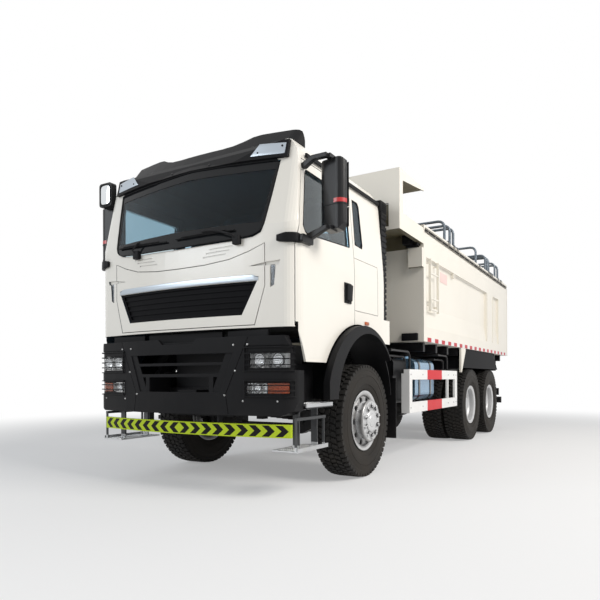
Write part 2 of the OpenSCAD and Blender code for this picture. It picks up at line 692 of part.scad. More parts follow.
// Shell that follows the leaning, bowed windscreen, from t0 to t1 behind the cab's face
module screen_shell(t0, t1) translate([0, 0, 2150]) rotate([-screen_lean, 0, 0]) translate([0, 0, -200])
    linear_extrude(1100) difference() {
        polygon(plan_outline(cab_w / 2 + 10, -1410, 150, -800, t0));
        polygon(plan_outline(cab_w / 2 + 10, -1410, 150, -790, t1));
    }
module cab_glass() painted(c_glass) {
    intersection() {
        screen_shell(6, 14);
        along_y(-far, -900, screen_pts(1));
    }
    // Quarter windows lean inwards with the cab's sides
    both_sides() intersection() {
        along_y(-300, 0, [
            [cab_w / 2 - 12, 2120], [cab_w / 2 - 68, 2780], [cab_w / 2 - 76, 2780], [cab_w / 2 - 20, 2120]]);
        along_x(0, far, quarter_pts(1));
    }
    block([-499, cab_rear_y - 14, 2251], [499, cab_rear_y - 6, 2649]);
}
module door() {
    difference() {
        intersection() {
            skin(cab_wall);
            door_prism(0);
        }
        along_x(0, far, window_pts(0));
        arch_cut(flare_r);
        // Below the floor only the outer skin is left
        block([0, -far, 1000], [1130, far, 1440]);
    }
    // Pull handle
    block([1149, -470, 1710], [1175, -370, 1850]);
}
module door_left() painted(c_cream) door();
module door_right() painted(c_cream) mirror([1, 0, 0]) door();
module door_glass() {
    intersection() {
        difference() {
            cab_hull(20);
            cab_hull(26);
        }
        along_x(400, far, window_pts(1));
    }
}
module door_glass_left() painted(c_glass) door_glass();
module door_glass_right() painted(c_glass) mirror([1, 0, 0]) door_glass();
module mirror_head(x) {
    // Tall housing, turned a little towards the driver and narrower at its foot
    intersection() {
        translate([x, -1010, 2490]) rotate([0, 0, -12]) translate([0, 0, -290]) linear_extrude(580)
            polygon(concat(arc([60, 0], 60, -90, 90, 8), arc([-60, 0], 60, 90, 270, 8)));
        along_y(-1200, -800, concat(
            arc([x + 80, 2740], 40, 0, 90, 5), arc([x - 80, 2740], 40, 90, 180, 5),
            [[x - 120, 2300], [x - 112, 2250], [x - 70, 2200], [x + 70, 2200], [x + 112, 2250], [x + 120, 2300]]));
    }
    // Upper arm: a thick bow from the pillar over to the housing
    along_y(-1150, -1105, [[1085, 2755], [1085, 2720], [1120, 2720], [1200, 2770], [x, 2770],
        [x, 2805], [1190, 2805]]);
    // Lower arm and the two covers at the door's belt line
    along_y(-1150, -1105, [[1110, 2125], [1180, 2125], [x, 2190], [x, 2225], [1160, 2175], [1110, 2175]]);
    round_block_x([1120, -1280, 2075], [1180, -1105, 2142], 16);
    block([x - 22, -1120, 2190], [x + 22, -1000, 2226]);
    block([x - 22, -1120, 2770], [x + 22, -1000, 2805]);
}
// Small kerb mirror on the upper arm
module kerb_mirror() {
    translate([1205, 0, 2740]) along_y(-1215, -1150, concat(
        arc([60, 210], 30, 0, 90, 5), arc([-60, 210], 30, 90, 180, 5),
        arc([-60, 30], 30, 180, 270, 5), arc([60, 30], 30, 270, 360, 5)));
    block([1150, -1151, 2766], [1185, -1130, 2782]);
}
module mirror_on_door(kerb = false) difference() {
    union() {
        mirror_head(1325);
        if (kerb) kerb_mirror();
    }
    cab_hull(0);
}
module mirror_left() painted(c_black) mirror_on_door();
module mirror_right() painted(c_black) mirror([1, 0, 0]) mirror_on_door(true);
module roof_visor() painted(c_black) {
    difference() {
        union() {
            intersection() {
                cab_hull(-28);
                along_y(-far, -1130, both_halves([[0, 2850], [1010, 2805], [1010, 2960], [0, 2960]]));
            }
            // Leaning, bowed plate whose ends rise over the roof's corners
            intersection() {
                translate([0, -1342, 2790]) rotate([-37, 0, 0]) linear_extrude(500) difference() {
                    polygon(plan_outline(1012, 0, 120, 330, 0));
                    polygon(plan_outline(1012, 0, 120, 331, 24));
                }
                along_y(-far, -950, both_halves(concat(
                    [[0, 2847], [1010, 2802]], arc([965, 3088], 45, 0, 90, 6),
                    [[620, 3140], [540, 3128], [450, 3085], [360, 3058], [250, 3048], [0, 3048]])));
            }
        }
        cab_hull(-0.2);
    }
    // Rain gutters
    both_sides() block([1086, -1080, 2835], [1104, 440, 2865]);
}
module cab_interior() painted(c_dark) {
    // Dashboard
    along_x(-975, 975, [[-1240, 1560], [-930, 1560], [-900, 1900], [-960, 2050], [-1230, 2080]]);
    // Seats
    both_sides() {
        block([370, -620, 1521], [870, -160, 1860]);
        along_x(370, 870, [[-230, 1859], [-90, 1859], [30, 2500], [-70, 2520]]);
    }
    // Bunk
    block([-1000, 60, 1521], [1000, 380, 1900]);
    // Steering wheel and column, left-hand drive
    translate([620, -840, 2090]) rotate([35, 0, 0]) rotate_extrude() translate([215, 0]) circle(r = 15);
    translate([620, -840, 2090]) rotate([35, 0, 0]) translate([0, 0, -200]) cylinder(r = 30, h = 190);
    translate([620, -840, 2090]) rotate([35, 0, 0]) block([-215, -15, -8], [215, 15, 8]);
}
module intake_stack() painted(c_black) {
    block([938, 466, 1610], [1112, 592, 2760]);
    for (i = [0 : 18]) block([930, 458, 1612 + 61 * i], [1120, 600, 1650 + 61 * i]);
}
module wipers() painted(c_black) {
    difference() {
        for (x = [-523, 627]) block([x - 35, -1475, 2095], [x + 35, -1370, 2165]);
        cab_hull(-0.3);
    }
}

// ---------------------------------------------------------------- front flap
grille_pts = both_halves([[0, 1508], [657, 1508], [800, 1782], [0, 1782]]);
module front_flap() painted(c_cream) {
    intersection() {
        difference() {
            cab_hull(0);
            cab_hull(40);
        }
        difference() {
            along_y(-far, -1100, flap_pts(0));
            along_y(-far, -1000, grille_pts);
            corner_recess();
        }
    }
}
module front_grille() painted(c_black) {
    intersection() {
        union() {
            difference() {
                cab_hull(26);
                cab_hull(38);
            }
            // Frame and cross bars
            difference() {
                cab_hull(10);
                cab_hull(27);
                along_y(-far, -1000, both_halves([[0, 1536], [642, 1536], [762, 1762], [0, 1762]]));
            }
            intersection() {
                difference() {
                    cab_hull(16);
                    cab_hull(27);
                }
                for (z = [1572, 1620, 1668, 1716]) block([-790, -far, z], [790, far, z + 14]);
            }
        }
        along_y(-far, -1100, both_halves([[0, 1509], [656, 1509], [798.5, 1781], [0, 1781]]));
    }
}

// ---------------------------------------------------------------- tipping body
bed_t = 60;
module bed_floor() painted(c_cream) {
    bw = bed_w / 2;
    // Floor plate on its cross-bearers
    block([-bw + bed_t, bed_front_y + 60, bed_low_z], [bw - bed_t, bed_rear_y - 10, bed_low_z + 60]);
    for (i = [0 : 9]) let (y = 1700 + i * 520) {
        block([-bw + bed_t, y, 1320], [bw - bed_t, y + 70, bed_low_z]);
    }
    both_sides() block([345, 1600, 1190], [415, 6780, bed_low_z]);
    // Hinge ears and pin
    both_sides() block([380, tip_hinge_y - 60, tip_hinge_z - 60], [415, tip_hinge_y + 60, 1200]);
    both_sides() rod_x([380, tip_hinge_y, tip_hinge_z], 40, 100);
}
// Pressed field in the body's side between two y values, as [x, z] points
module side_field(y0, y1) along_y(y0, y1, [
    [bed_w / 2 - 45, 1890], [bed_w / 2 - 12, 1630], [bed_w / 2 + 80, 1620], [bed_w / 2 + 80, 2500],
    [bed_w / 2 - 20, 2500], [bed_w / 2 - 45, 2480]]);
module bed_side() {
    bw = bed_w / 2;
    difference() {
        block([bw - bed_t, bed_front_y, bed_low_z], [bw, bed_rear_y, bed_top_z]);
        side_field(1660, 5000);
        side_field(5500, 6000);
    }
    // Flanges beside the rib between the two fields
    block([bw - 1, 5015, 1640], [bw + 8, 5035, 2490]);
    block([bw - 1, 5465, 1640], [bw + 8, 5485, 2490]);
    // Top rail with its outer lip
    block([bw - 60, 1560, bed_top_z], [bw + 5, bed_rear_y, bed_top_z + 60]);
    // Tailgate's hinge brackets
    bearing_plate([1110, bed_rear_y - 95, bed_top_z + 20], [1160.5, bed_rear_y - 15, 2970],
        bed_rear_y - 55, 2930, 20.3);
    // Post ahead of the rear mudguard
    along_x(bw - 33, bw - 1, [[3300, 1441], [3300, 1070], [3330, 1070], [3550, 1400], [3550, 1441]]);
    // Lug under the top band
    block([bw - 30, 2885, 2420], [bw + 4, 2915, 2501]);
}
module bed_sides() painted(c_cream) {
    both_sides() bed_side();
    // Ladder on the left side
    for (y = [1750, 2080]) block([bed_w / 2 - 1, y, 1830], [bed_w / 2 + 30, y + 16, 2500]);
    for (z = [1990, 2310]) block([bed_w / 2 + 10, 1750, z], [bed_w / 2 + 26, 2096, z + 20]);
    for (y = [1750, 2080]) for (z = [1900, 2440]) block([bed_w / 2 - 46, y, z], [bed_w / 2 + 1, y + 16, z + 20]);
    block([bed_w / 2 + 10, 1790, 1850], [bed_w / 2 + 26, 2056, 1870]);
    for (y = [1790, 2040]) block([bed_w / 2 + 10, y, 1850], [bed_w / 2 + 26, y + 16, 2000]);
}
module bed_front() painted(c_cream) {
    bw = bed_w / 2;
    // Front wall
    block([-bw + bed_t, bed_front_y, bed_low_z], [bw - bed_t, bed_front_y + 60, bed_top_z]);
    block([-bw + 90, bed_front_y, bed_top_z - 1], [bw - 90, bed_front_y + 60, bed_top_z + 60]);
    // Shelf and side beams that reach forward over the cab's back
    both_sides() block([bw - 60, 742, 2650], [bw, bed_front_y - 0.5, 2845]);
    along_x(-bw + bed_t, bw - bed_t, [[742, 2650], [742, 2690], [1480, 2800],
        [bed_front_y + 1, 2800], [bed_front_y + 1, 2760], [1500, 2760]]);
    // Upright front plate, deeper at its ends, with side flanges
    block([-bw, 740, 2950], [bw, 770, headboard_z]);
    both_sides() block([1090, 740, 2650], [bw, 770, 2951]);
    both_sides() block([bw - 30, 740, 2650], [bw, 845, headboard_z]);
    // Canopy that leans back from its top, with tapered skirts
    block([-bw, 740, headboard_z - 12], [bw, 1575, headboard_z]);
    both_sides() along_x(bw - 12, bw, [[769, headboard_z - 118], [845, headboard_z - 118],
        [1575, headboard_z - 24], [1575, headboard_z - 11], [769, headboard_z - 11]]);
    for (x = [-900, -450, 0, 450, 900]) along_x(x - 6, x + 6, [[769, headboard_z - 130],
        [1480, headboard_z - 40], [1480, headboard_z - 11], [769, headboard_z - 11]]);
    // Corner boxes at the front wall's sides
    both_sides() block([1036, bed_front_y - 60, 2360], [bw - 0.5, bed_front_y - 0.5, 2600]);
    both_sides() block([1036, bed_front_y - 1, 2360], [bw - bed_t, bed_front_y + 1, 2600]);
    // Bracket for the hoist's upper end
    both_sides() block([58, hoist_y - 60, 2390], [88, bed_front_y + 1, 2510]);
}
module cover_bows() painted(c_steel) {
    $fn = 16;
    for (y = [2640, 2900, 3080, 4450, 5150, 5300, 5420, 5950, 6200]) {
        both_sides() rod_z([1160, y, bed_top_z + 72], 19, 228);
        rod_x([-1070, y, 3209], 19, 2140);
        both_sides() translate([1070, y, 3119]) rotate([90, 0, 0]) rotate_extrude(angle = 90)
            translate([90, 0]) circle(r = 19);
        // Carriage that runs on the track
        both_sides() block([1120, y - 45, bed_top_z + 60.3], [1222, y + 45, bed_top_z + 80]);
        both_sides() block([1225.5, y - 35, bed_top_z + 5], [1237, y + 35, bed_top_z + 70]);
        both_sides() block([1215, y - 35, bed_top_z + 62], [1237, y + 35, bed_top_z + 74]);
    }
    // Two rails of the cover's track
    both_sides() block([1142, 1600, bed_top_z + 60.3], [1154, 6700, bed_top_z + 72]);
    both_sides() block([1188, 1600, bed_top_z + 60.3], [1200, 6700, bed_top_z + 72]);
}
module bed_mudguards() painted(c_black) both_sides() {
    block([560, 3350, 1290], [1186, 5850, 1305]);
    block([1185, 3560, 1290], [1196, 5850, 1305]);
    along_x(1195, 1205, [[3378, 1140], [5950, 1140], [5600, 1400], [5600, 1439], [3551, 1439], [3551, 1400]]);
    // Front and rear closing plates
    block([560, 3338, 1120], [1186, 3351, 1305]);
    block([560, 5849, 1120], [1196, 5862, 1305]);
}
module tailgate() painted(c_cream) {
    bw = bed_w / 2;
    block([-bw, bed_rear_y + 20, bed_low_z], [bw, bed_rear_y + 75, 2820]);
    both_sides() for (x = [300, 900]) block([x, bed_rear_y + 75, bed_low_z], [x + 80, bed_rear_y + 130, 2820]);
    // Top hinge arms
    both_sides() block([1060, bed_rear_y - 60, 2900], [1100, bed_rear_y + 75, 2960]);
    both_sides() rod_x([1060, bed_rear_y - 55, 2930], 30, 40);
    both_sides() rod_x([1050, bed_rear_y - 55, 2930], 20, 100);
    both_sides() block([1060, bed_rear_y + 20, 2819], [1100, bed_rear_y + 75, 2901]);
}

// ---------------------------------------------------------------- hoist
module hoist_barrel() painted(c_dark) difference() {
    union() {
        rod_z([0, hoist_y, 960], 105, 1240);
        rod_x([-190, hoist_y, hoist_z], 35, 380);
    }
    rod_z([0, hoist_y, 976], 91, 1300);
}
// One tube of the hoist, closed at its foot
module stage(r, z0, z1) difference() {
    rod_z([0, hoist_y, z0], r, z1 - z0);
    rod_z([0, hoist_y, z0 + 8], r - 12, z1);
}
module hoist_stage_1() painted(c_steel) stage(90.5, 977, 2230);
module hoist_stage_2() painted(c_steel) stage(78, 986, 2260);
module hoist_stage_3() painted(c_steel) stage(65.5, 995, 2290);
module hoist_stage_4() painted(c_steel) {
    rod_z([0, hoist_y, 1004], 50, 1396);
    rod_x([-40, hoist_y, 2450], 45, 80);
    block([-25, hoist_y - 30, 2395], [25, hoist_y + 30, 2450]);
}

frame_rails();
cross_members();
frame_fittings();
engine();
front_bumper();
front_lamps();
tail_lamps();
chevron_bar();
cab_steps();
front_mudguards();
front_axle();
drive_axles();
fuel_tank();
battery_box();
silencer();
side_guards();
knuckle_left();
knuckle_right();
track_rod();
front_tyre_left();
front_tyre_right();
front_wheel_left();
front_wheel_right();
drive_tyres_1_left();
drive_tyres_1_right();
drive_tyres_2_left();
drive_tyres_2_right();
drive_wheels_1_left();
drive_wheels_1_right();
drive_wheels_2_left();
drive_wheels_2_right();
cab_shell();
cab_pivots();
roof_visor();
cab_glass();
cab_interior();
intake_stack();
wipers();
door_left();
door_right();
door_glass_left();
door_glass_right();
mirror_left();
mirror_right();
front_flap();
front_grille();
bed_floor();
bed_sides();
bed_front();
cover_bows();
bed_mudguards();
tailgate();
hoist_barrel();
hoist_stage_1();
hoist_stage_2();
hoist_stage_3();
hoist_stage_4();
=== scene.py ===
import bmesh
import bpy
import math
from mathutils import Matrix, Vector


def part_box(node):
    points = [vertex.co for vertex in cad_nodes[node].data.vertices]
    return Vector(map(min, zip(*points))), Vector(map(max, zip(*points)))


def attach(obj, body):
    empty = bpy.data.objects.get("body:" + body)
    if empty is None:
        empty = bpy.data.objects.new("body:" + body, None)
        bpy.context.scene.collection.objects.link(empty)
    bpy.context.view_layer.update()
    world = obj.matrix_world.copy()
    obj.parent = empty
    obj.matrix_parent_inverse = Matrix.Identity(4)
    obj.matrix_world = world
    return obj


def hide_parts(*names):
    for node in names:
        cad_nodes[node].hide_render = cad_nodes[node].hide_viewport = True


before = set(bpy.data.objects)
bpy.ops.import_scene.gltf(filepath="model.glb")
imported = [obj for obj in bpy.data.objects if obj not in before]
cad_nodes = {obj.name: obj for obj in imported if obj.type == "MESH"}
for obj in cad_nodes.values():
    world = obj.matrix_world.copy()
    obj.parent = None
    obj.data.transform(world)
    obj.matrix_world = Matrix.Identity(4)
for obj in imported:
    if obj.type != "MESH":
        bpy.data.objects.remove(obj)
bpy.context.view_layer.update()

# ------------------------------------------------------------------ camera
# A standing camera ahead of the truck's left corner, about a metre above the floor.
# It looks level, turned towards the cab, and its shift keeps the whole truck in frame.
bpy.ops.object.camera_add(
    location=(3.446, -7.775, 0.984),
    rotation=(math.radians(90.0), math.radians(0.18), math.radians(29.6)))
camera = bpy.context.object
camera.data.sensor_width = 36.0
camera.data.lens = 33.07
camera.data.shift_x = -0.0291
camera.data.shift_y = 0.1306
camera.data.clip_end = 300.0
bpy.context.scene.camera = camera
bpy.context.scene.view_settings.view_transform = "Standard"

# ------------------------------------------------------------------ studio floor and light
# A wide pale floor that catches the truck's shadow and runs out into a white backdrop.
# Two broad soft lamps and an even white surround light the truck at a plain level.
FLOOR_PALE = (0.80, 0.80, 0.80)


class Bench:
    """Short ways to add shader nodes to one node tree."""

    def __init__(self, tree):
        self.nodes, self.links = tree.nodes, tree.links

    def feed(self, socket, value):
        """Links a socket to the input, or sets the input to a plain value."""
        if isinstance(value, bpy.types.NodeSocket):
            self.links.new(value, socket)
        elif socket.type == "RGBA":
            socket.default_value = (*value, 1.0)
        else:
            socket.default_value = value

    def add(self, kind, feeds=None, **settings):
        node = self.nodes.new("ShaderNode" + kind)
        for label, value in settings.items():
            setattr(node, label, value)
        for slot, value in (feeds or {}).items():
            self.feed(node.inputs[slot], value)
        return node

    def math(self, kind, *values):
        return self.add("Math", dict(enumerate(values)), operation=kind).outputs[0]

    def times(self, first, second):
        return self.math("MULTIPLY", first, second)

    def larger(self, first, second):
        return self.math("MAXIMUM", first, second)

    def above(self, value, limit):
        return self.math("GREATER_THAN", value, limit)

    def below(self, value, limit):
        return self.math("LESS_THAN", value, limit)

    def vector(self, kind, *values, out="Vector"):
        return self.add("VectorMath", dict(enumerate(values)), operation=kind).outputs[out]

    def span(self, value, low, high, start=0.0, end=1.0, kind="LINEAR"):
        """A value between start and end, laid out from low to high."""
        return self.add("MapRange", {0: value, 1: start, 2: end, 3: low, 4: high},
                        interpolation_type=kind).outputs[0]

    def mix(self, mask, first, second):
        """The first colour where the mask is 0, the second where it is 1."""
        return self.add("Mix", {0: mask, 6: first, 7: second}, data_type="RGBA").outputs[2]

    def place(self):
        return self.add("TexCoord").outputs["Object"]

    def along(self, axis):
        return self.add("SeparateXYZ", {0: self.place()}).outputs[axis]

    def facing(self, axis):
        """The surface's direction along one of the piece's own axes, which turn with its body."""
        return self.add("SeparateXYZ", {0: self.add("TexCoord").outputs["Normal"]}).outputs[axis]

    def noise(self, scale, detail=2.0, rough=0.5, at=None):
        return self.add("TexNoise", {"Vector": at or self.place(), "Scale": scale, "Detail": detail,
                                     "Roughness": rough}).outputs["Fac"]

    def cells(self, scale):
        return self.add("TexVoronoi", {"Vector": self.place(), "Scale": scale})

    def waves(self, scale, axis="X", at=None, **settings):
        return self.add("TexWave", {"Vector": at or self.place(), "Scale": scale}, bands_direction=axis,
                        **settings).outputs["Fac"]

    def effect(self, group, **values):
        """One of the shared effects, with this finish's own values."""
        node = self.add("Group", node_tree=group)
        for label, value in values.items():
            node.inputs[label.replace("_", " ")].default_value = value
        return node.outputs

    def relief(self, height, strength, deep, under=None):
        feeds = {"Height": height, "Strength": strength, "Distance": deep}
        if under is not None:
            feeds["Normal"] = under
        return self.add("Bump", feeds).outputs["Normal"]

    def bands(self, axis, *spans):
        """1 inside any of the spans of an Object coordinate, 0 elsewhere."""
        found = 0.0
        for low, high in spans:
            off = self.math("ABSOLUTE", self.math("SUBTRACT", self.along(axis), (low + high) / 2))
            found = self.larger(found, self.below(off, (high - low) / 2))
        return found

    def seen_by(self, *kinds):
        rays = self.add("LightPath")
        found = rays.outputs[kinds[0]]
        for kind in kinds[1:]:
            found = self.larger(found, rays.outputs[kind])
        return found


class Finish(Bench):
    """A material with one Principled surface; plain values are set straight on its sockets."""

    def __init__(self, name, **plain):
        self.material = bpy.data.materials.new(name)
        self.material.use_nodes = True
        super().__init__(self.material.node_tree)
        self.nodes.clear()
        self.skin = self.add("BsdfPrincipled")
        self.add("OutputMaterial", {0: self.skin.outputs[0]})
        self.wear(**plain)

    def wear(self, **sockets):
        """Feeds the surface's sockets, named with _ for a space."""
        for label, value in sockets.items():
            self.feed(self.skin.inputs[label.replace("_", " ")], value)
        return self.material


bpy.ops.mesh.primitive_plane_add(size=160.0, location=(0.0, 0.0, 0.0))
floor = bpy.context.object
floor.name = "studio_floor"
floor_look = bpy.data.materials.new("studio_floor")
floor_look.use_nodes = True
floor_look.node_tree.nodes.clear()
bench = Bench(floor_look.node_tree)
matt = bench.add("BsdfDiffuse", {"Color": FLOOR_PALE})
glow = bench.add("Emission", {"Color": (1.0, 1.0, 1.0)})
fade = bench.span(bench.vector("LENGTH", bench.place(), out="Value"), 0.30, 1.0, 5.0, 11.0, "SMOOTHSTEP")
share = bench.times(fade, bench.seen_by("Is Camera Ray", "Is Glossy Ray"))
blend = bench.add("MixShader", {0: share, 1: matt.outputs[0], 2: glow.outputs[0]})
bench.add("OutputMaterial", {0: blend.outputs[0]})
floor.data.materials.append(floor_look)

world = bpy.data.worlds.new("studio")
bpy.context.scene.world = world
world.use_nodes = True
world.node_tree.nodes.clear()
bench = Bench(world.node_tree)
surround = bench.add("Background", {"Color": (0.93, 0.96, 1.0), "Strength": 0.40})
backdrop = bench.add("Background", {"Color": (1.0, 1.0, 1.0)})
blend = bench.add("MixShader", {0: bench.seen_by("Is Camera Ray", "Is Transmission Ray", "Is Glossy Ray"),
                                1: surround.outputs[0], 2: backdrop.outputs[0]})
bench.add("OutputWorld", {0: blend.outputs[0]})


def soft_lamp(name, place, aim, size, power, tint):
    """A broad rectangular lamp at place, facing the point aim."""
    bpy.ops.object.light_add(type="AREA", location=place)
    lamp = bpy.context.object
    lamp.name = name
    lamp.data.shape = "RECTANGLE"
    lamp.data.size = size[0]
    lamp.data.size_y = size[1]
    lamp.data.energy = power
    lamp.data.color = tint
    lamp.rotation_euler = (Vector(aim) - Vector(place)).to_track_quat("-Z", "Y").to_euler()


soft_lamp("key_lamp", (11.0, -3.0, 9.0), (0.0, -0.5, 1.5), (7.0, 5.0), 1390.0, (1.0, 0.965, 0.92))
soft_lamp("fill_lamp", (-6.0, -13.0, 6.0), (0.0, -2.0, 1.5), (6.0, 4.0), 420.0, (0.90, 0.95, 1.0))

# ------------------------------------------------------------------ cab and door panels
# Pressed steel panels of the cab, the two doors and the front flap, hung with even gaps.
# They are dipped, primed and sprayed in a gloss cream, black underneath; grey trim lines them.
DUST_PALE = (0.42, 0.37, 0.30)
DUST_DARK = (0.17, 0.15, 0.13)


def effect_group(name, takes, gives):
    """A shader node group with float inputs (name: value) and outputs (name: kind)."""
    group = bpy.data.node_groups.new(name, "ShaderNodeTree")
    for label, value in takes.items():
        group.interface.new_socket(name=label, in_out="INPUT", socket_type="NodeSocketFloat").default_value = value
    for label, kind in gives.items():
        group.interface.new_socket(name=label, in_out="OUTPUT", socket_type="NodeSocket" + kind)
    inside = group.nodes.new("NodeGroupInput").outputs
    outside = group.nodes.new("NodeGroupOutput").inputs
    return group, Bench(group), inside, outside


# Grain: two layers of noise, coarse and fine, for orange peel, moulded skin and castings
grain_effect, bench, inside, outside = effect_group(
    "surface_grain", {"Scale": 60.0, "Fine Share": 0.4}, {"Height": "Float", "Tone": "Float"})
coarse = bench.noise(inside["Scale"])
fine = bench.noise(bench.times(inside["Scale"], 5.3), 3.0)
bench.feed(outside["Height"], bench.add("Mix", {0: inside["Fine Share"], 2: coarse, 3: fine}).outputs[0])
bench.feed(outside["Tone"], coarse)

# Road dust: lies on the low parts, thinning out with height, broken into soft patches
dust_effect, bench, inside, outside = effect_group(
    "road_dust", {"Top": 1.2, "Amount": 0.5, "Everywhere": 0.0}, {"Mask": "Float"})
low_down = bench.span(bench.along("Z"), 1.0, 0.0, 0.0, inside["Top"], "SMOOTHSTEP")
patches = bench.span(bench.noise(3.1, 6.0, 0.62), 0.0, 1.0, 0.36, 0.66)
dusted = bench.times(bench.larger(low_down, inside["Everywhere"]), patches)
bench.feed(outside["Mask"], bench.times(dusted, inside["Amount"]))

# Rubbed edges: a softened normal, and a mask where an edge is rubbed
edge_effect, bench, inside, outside = effect_group(
    "rubbed_edges", {"Radius": 0.004, "Amount": 0.5}, {"Mask": "Float", "Normal": "Vector"})
rounded = bench.add("Bevel", {"Radius": inside["Radius"]}, samples=4).outputs[0]
square_on = bench.vector("DOT_PRODUCT", rounded, bench.add("NewGeometry").outputs["Normal"], out="Value")
scratches = bench.span(bench.noise(38.0, 5.0), 0.0, 1.0, 0.42, 0.62)
rubbed = bench.times(bench.span(square_on, 0.0, 1.0, 0.985, 0.85), scratches)
bench.feed(outside["Mask"], bench.times(rubbed, inside["Amount"]))
bench.feed(outside["Normal"], rounded)


def coated(name, light, deep, rough, grain=200.0, fine=0.4, bump=0.1, deep_bump=0.0006, dust=(1.0, 0.1, 0.0),
           dust_tone=DUST_PALE, worn=0.2, worn_tone=(0.5, 0.5, 0.5), metal=0.0, coat=0.0, radius=0.004,
           gloss=0.5):
    """A finish of two close tones with its grain, dust (top, amount, everywhere) and rubbed edges."""
    look = Finish(name, Metallic=metal, Specular_IOR_Level=gloss, Coat_Weight=coat, Coat_Roughness=0.06)
    texture = look.effect(grain_effect, Scale=grain, Fine_Share=fine)
    dusty = look.effect(dust_effect, Top=dust[0], Amount=dust[1], Everywhere=dust[2])["Mask"]
    edges = look.effect(edge_effect, Radius=radius, Amount=worn)
    colour = look.mix(look.effect(grain_effect, Scale=1.3, Fine_Share=0.3)["Tone"], deep, light)
    colour = look.mix(edges["Mask"], colour, worn_tone)
    look.colour = look.mix(dusty, colour, dust_tone)
    look.rough = look.span(dusty, rough, min(0.95, rough + 0.4))
    look.wear(Base_Color=look.colour, Roughness=look.rough,
              Normal=look.relief(texture["Height"], bump, deep_bump, edges["Normal"]))
    return look


def finish_nodes(look, *names):
    """Gives CAD nodes their finish."""
    for name in names:
        for slot in cad_nodes[name].material_slots:
            slot.material = look.material


front_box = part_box("front_tyre_left")
FRONT_AXLE = (front_box[0].y + front_box[1].y) / 2
look = cab_paint = coated("cab_paint", (0.86, 0.83, 0.765), (0.80, 0.765, 0.69), 0.26, grain=260.0, fine=0.2,
                          bump=0.05, dust=(1.9, 0.10, 0.0), worn=0.12, worn_tone=(0.62, 0.60, 0.56), coat=0.5)
outward = look.vector("DOT_PRODUCT", look.add("TexCoord").outputs["Normal"],
                      look.vector("SUBTRACT", look.place(), (0.0, FRONT_AXLE - 0.4, 2.2)), out="Value")
inside = look.below(outward, 0.0)
underbody = look.times(look.below(look.facing("Z"), -0.5), look.below(look.along("Z"), 1.75))
lined = look.mix(inside, look.colour, (0.034, 0.056, 0.078))
bare = look.larger(inside, underbody)
look.wear(Base_Color=look.mix(underbody, lined, (0.020, 0.020, 0.020)),
          Roughness=look.larger(look.rough, look.times(bare, 0.95)), Coat_Weight=look.span(bare, 0.5, 0.0),
          Coat_Roughness=0.24)
finish_nodes(cab_paint, "cab_shell", "door_left", "door_right", "front_flap")

# ------------------------------------------------------------------ tipping body
# Welded steel plate, pressed fields and square rails, sprayed in satin cream after welding.
# Below the floor plate, the bearers and long beams are painted with the chassis black.
BODY_TONES = ((0.85, 0.815, 0.735), (0.78, 0.74, 0.655))
BODY_COAT = {"grain": 150.0, "deep_bump": 0.0008, "worn": 0.25, "worn_tone": (0.55, 0.52, 0.47), "radius": 0.006}
body_paint = coated("body_paint", *BODY_TONES, 0.38, dust=(2.3, 0.12, 0.02), coat=0.15, **BODY_COAT)
finish_nodes(body_paint, "bed_sides", "tailgate")
look = front_paint = coated("front_paint", *BODY_TONES, 0.40, dust=(2.3, 0.15, 0.02), **BODY_COAT)
BOARD_BACK, WALL_FACE = (0.771, 0.790), (1.40, 1.60)    # depths of two faces from the front axle
BOARD_FOOT = 2.605
# The front wall's downward faces, the top of its face under the cab guard and a band at its foot are mixed towards
# brown-black: painted shade, with a little grime in it.
under = look.below(look.facing("Z"), -0.4)
wall_top = look.bands("Y", *((FRONT_AXLE + a, FRONT_AXLE + b) for a, b in (BOARD_BACK, WALL_FACE)))
wall_top = look.times(wall_top, look.below(look.facing("Y"), -0.5))
wall_top = look.times(wall_top, look.above(look.along("Z"), BOARD_FOOT))
foot = look.times(look.bands("Z", (1.38, 1.54)), look.bands("X", (-0.95, 0.60)))
shade_and_grime = look.times(look.larger(under, look.larger(wall_top, foot)),
                   look.span(look.noise(3.0, 4.0), 0.93, 1.0, 0.3, 0.7))
look.wear(Base_Color=look.mix(shade_and_grime, look.colour, (0.098, 0.083, 0.042)))
finish_nodes(front_paint, "bed_front")
look = floor_paint = coated("floor_paint", *BODY_TONES, 0.42, dust=(2.3, 0.25, 0.1), gloss=0.15, **BODY_COAT)
FLOOR_UNDERSIDE = 1.4395
below = look.below(look.along("Z"), FLOOR_UNDERSIDE)
look.wear(Base_Color=look.mix(below, look.colour, (0.008, 0.008, 0.009)))
finish_nodes(floor_paint, "bed_floor")

# ------------------------------------------------------------------ black mouldings
# The bumper, visor, wings, mirror housings and stack are moulded in black grained plastic.
# They clip and bolt on, and keep a matt skin that greys a little where dust lies.
moulded_black = coated("moulded_black", (0.013, 0.013, 0.014), (0.007, 0.007, 0.008), 0.44, grain=420.0,
                       fine=0.5, bump=0.30, dust=(1.1, 0.09, 0.02), dust_tone=DUST_DARK, worn=0.25,
                       worn_tone=(0.06, 0.06, 0.065), radius=0.006, gloss=0.09)
finish_nodes(moulded_black, "front_bumper", "roof_visor", "front_mudguards", "intake_stack", "battery_box")
housing_black = coated("housing_black", (0.014, 0.014, 0.015), (0.009, 0.009, 0.010), 0.30, grain=300.0,
                       bump=0.08, dust=(0.9, 0.0, 0.0), worn=0.15, worn_tone=(0.06, 0.06, 0.065), radius=0.012,
                       gloss=0.22)
finish_nodes(housing_black, "mirror_left", "mirror_right")
mesh_black = coated("mesh_black", (0.007, 0.007, 0.008), (0.004, 0.004, 0.005), 0.55, grain=240.0, fine=0.5,
                    bump=0.2, dust=(1.1, 0.0, 0.0), worn=0.1, worn_tone=(0.03, 0.03, 0.03), gloss=0.06)
finish_nodes(mesh_black, "front_grille", "bed_mudguards")

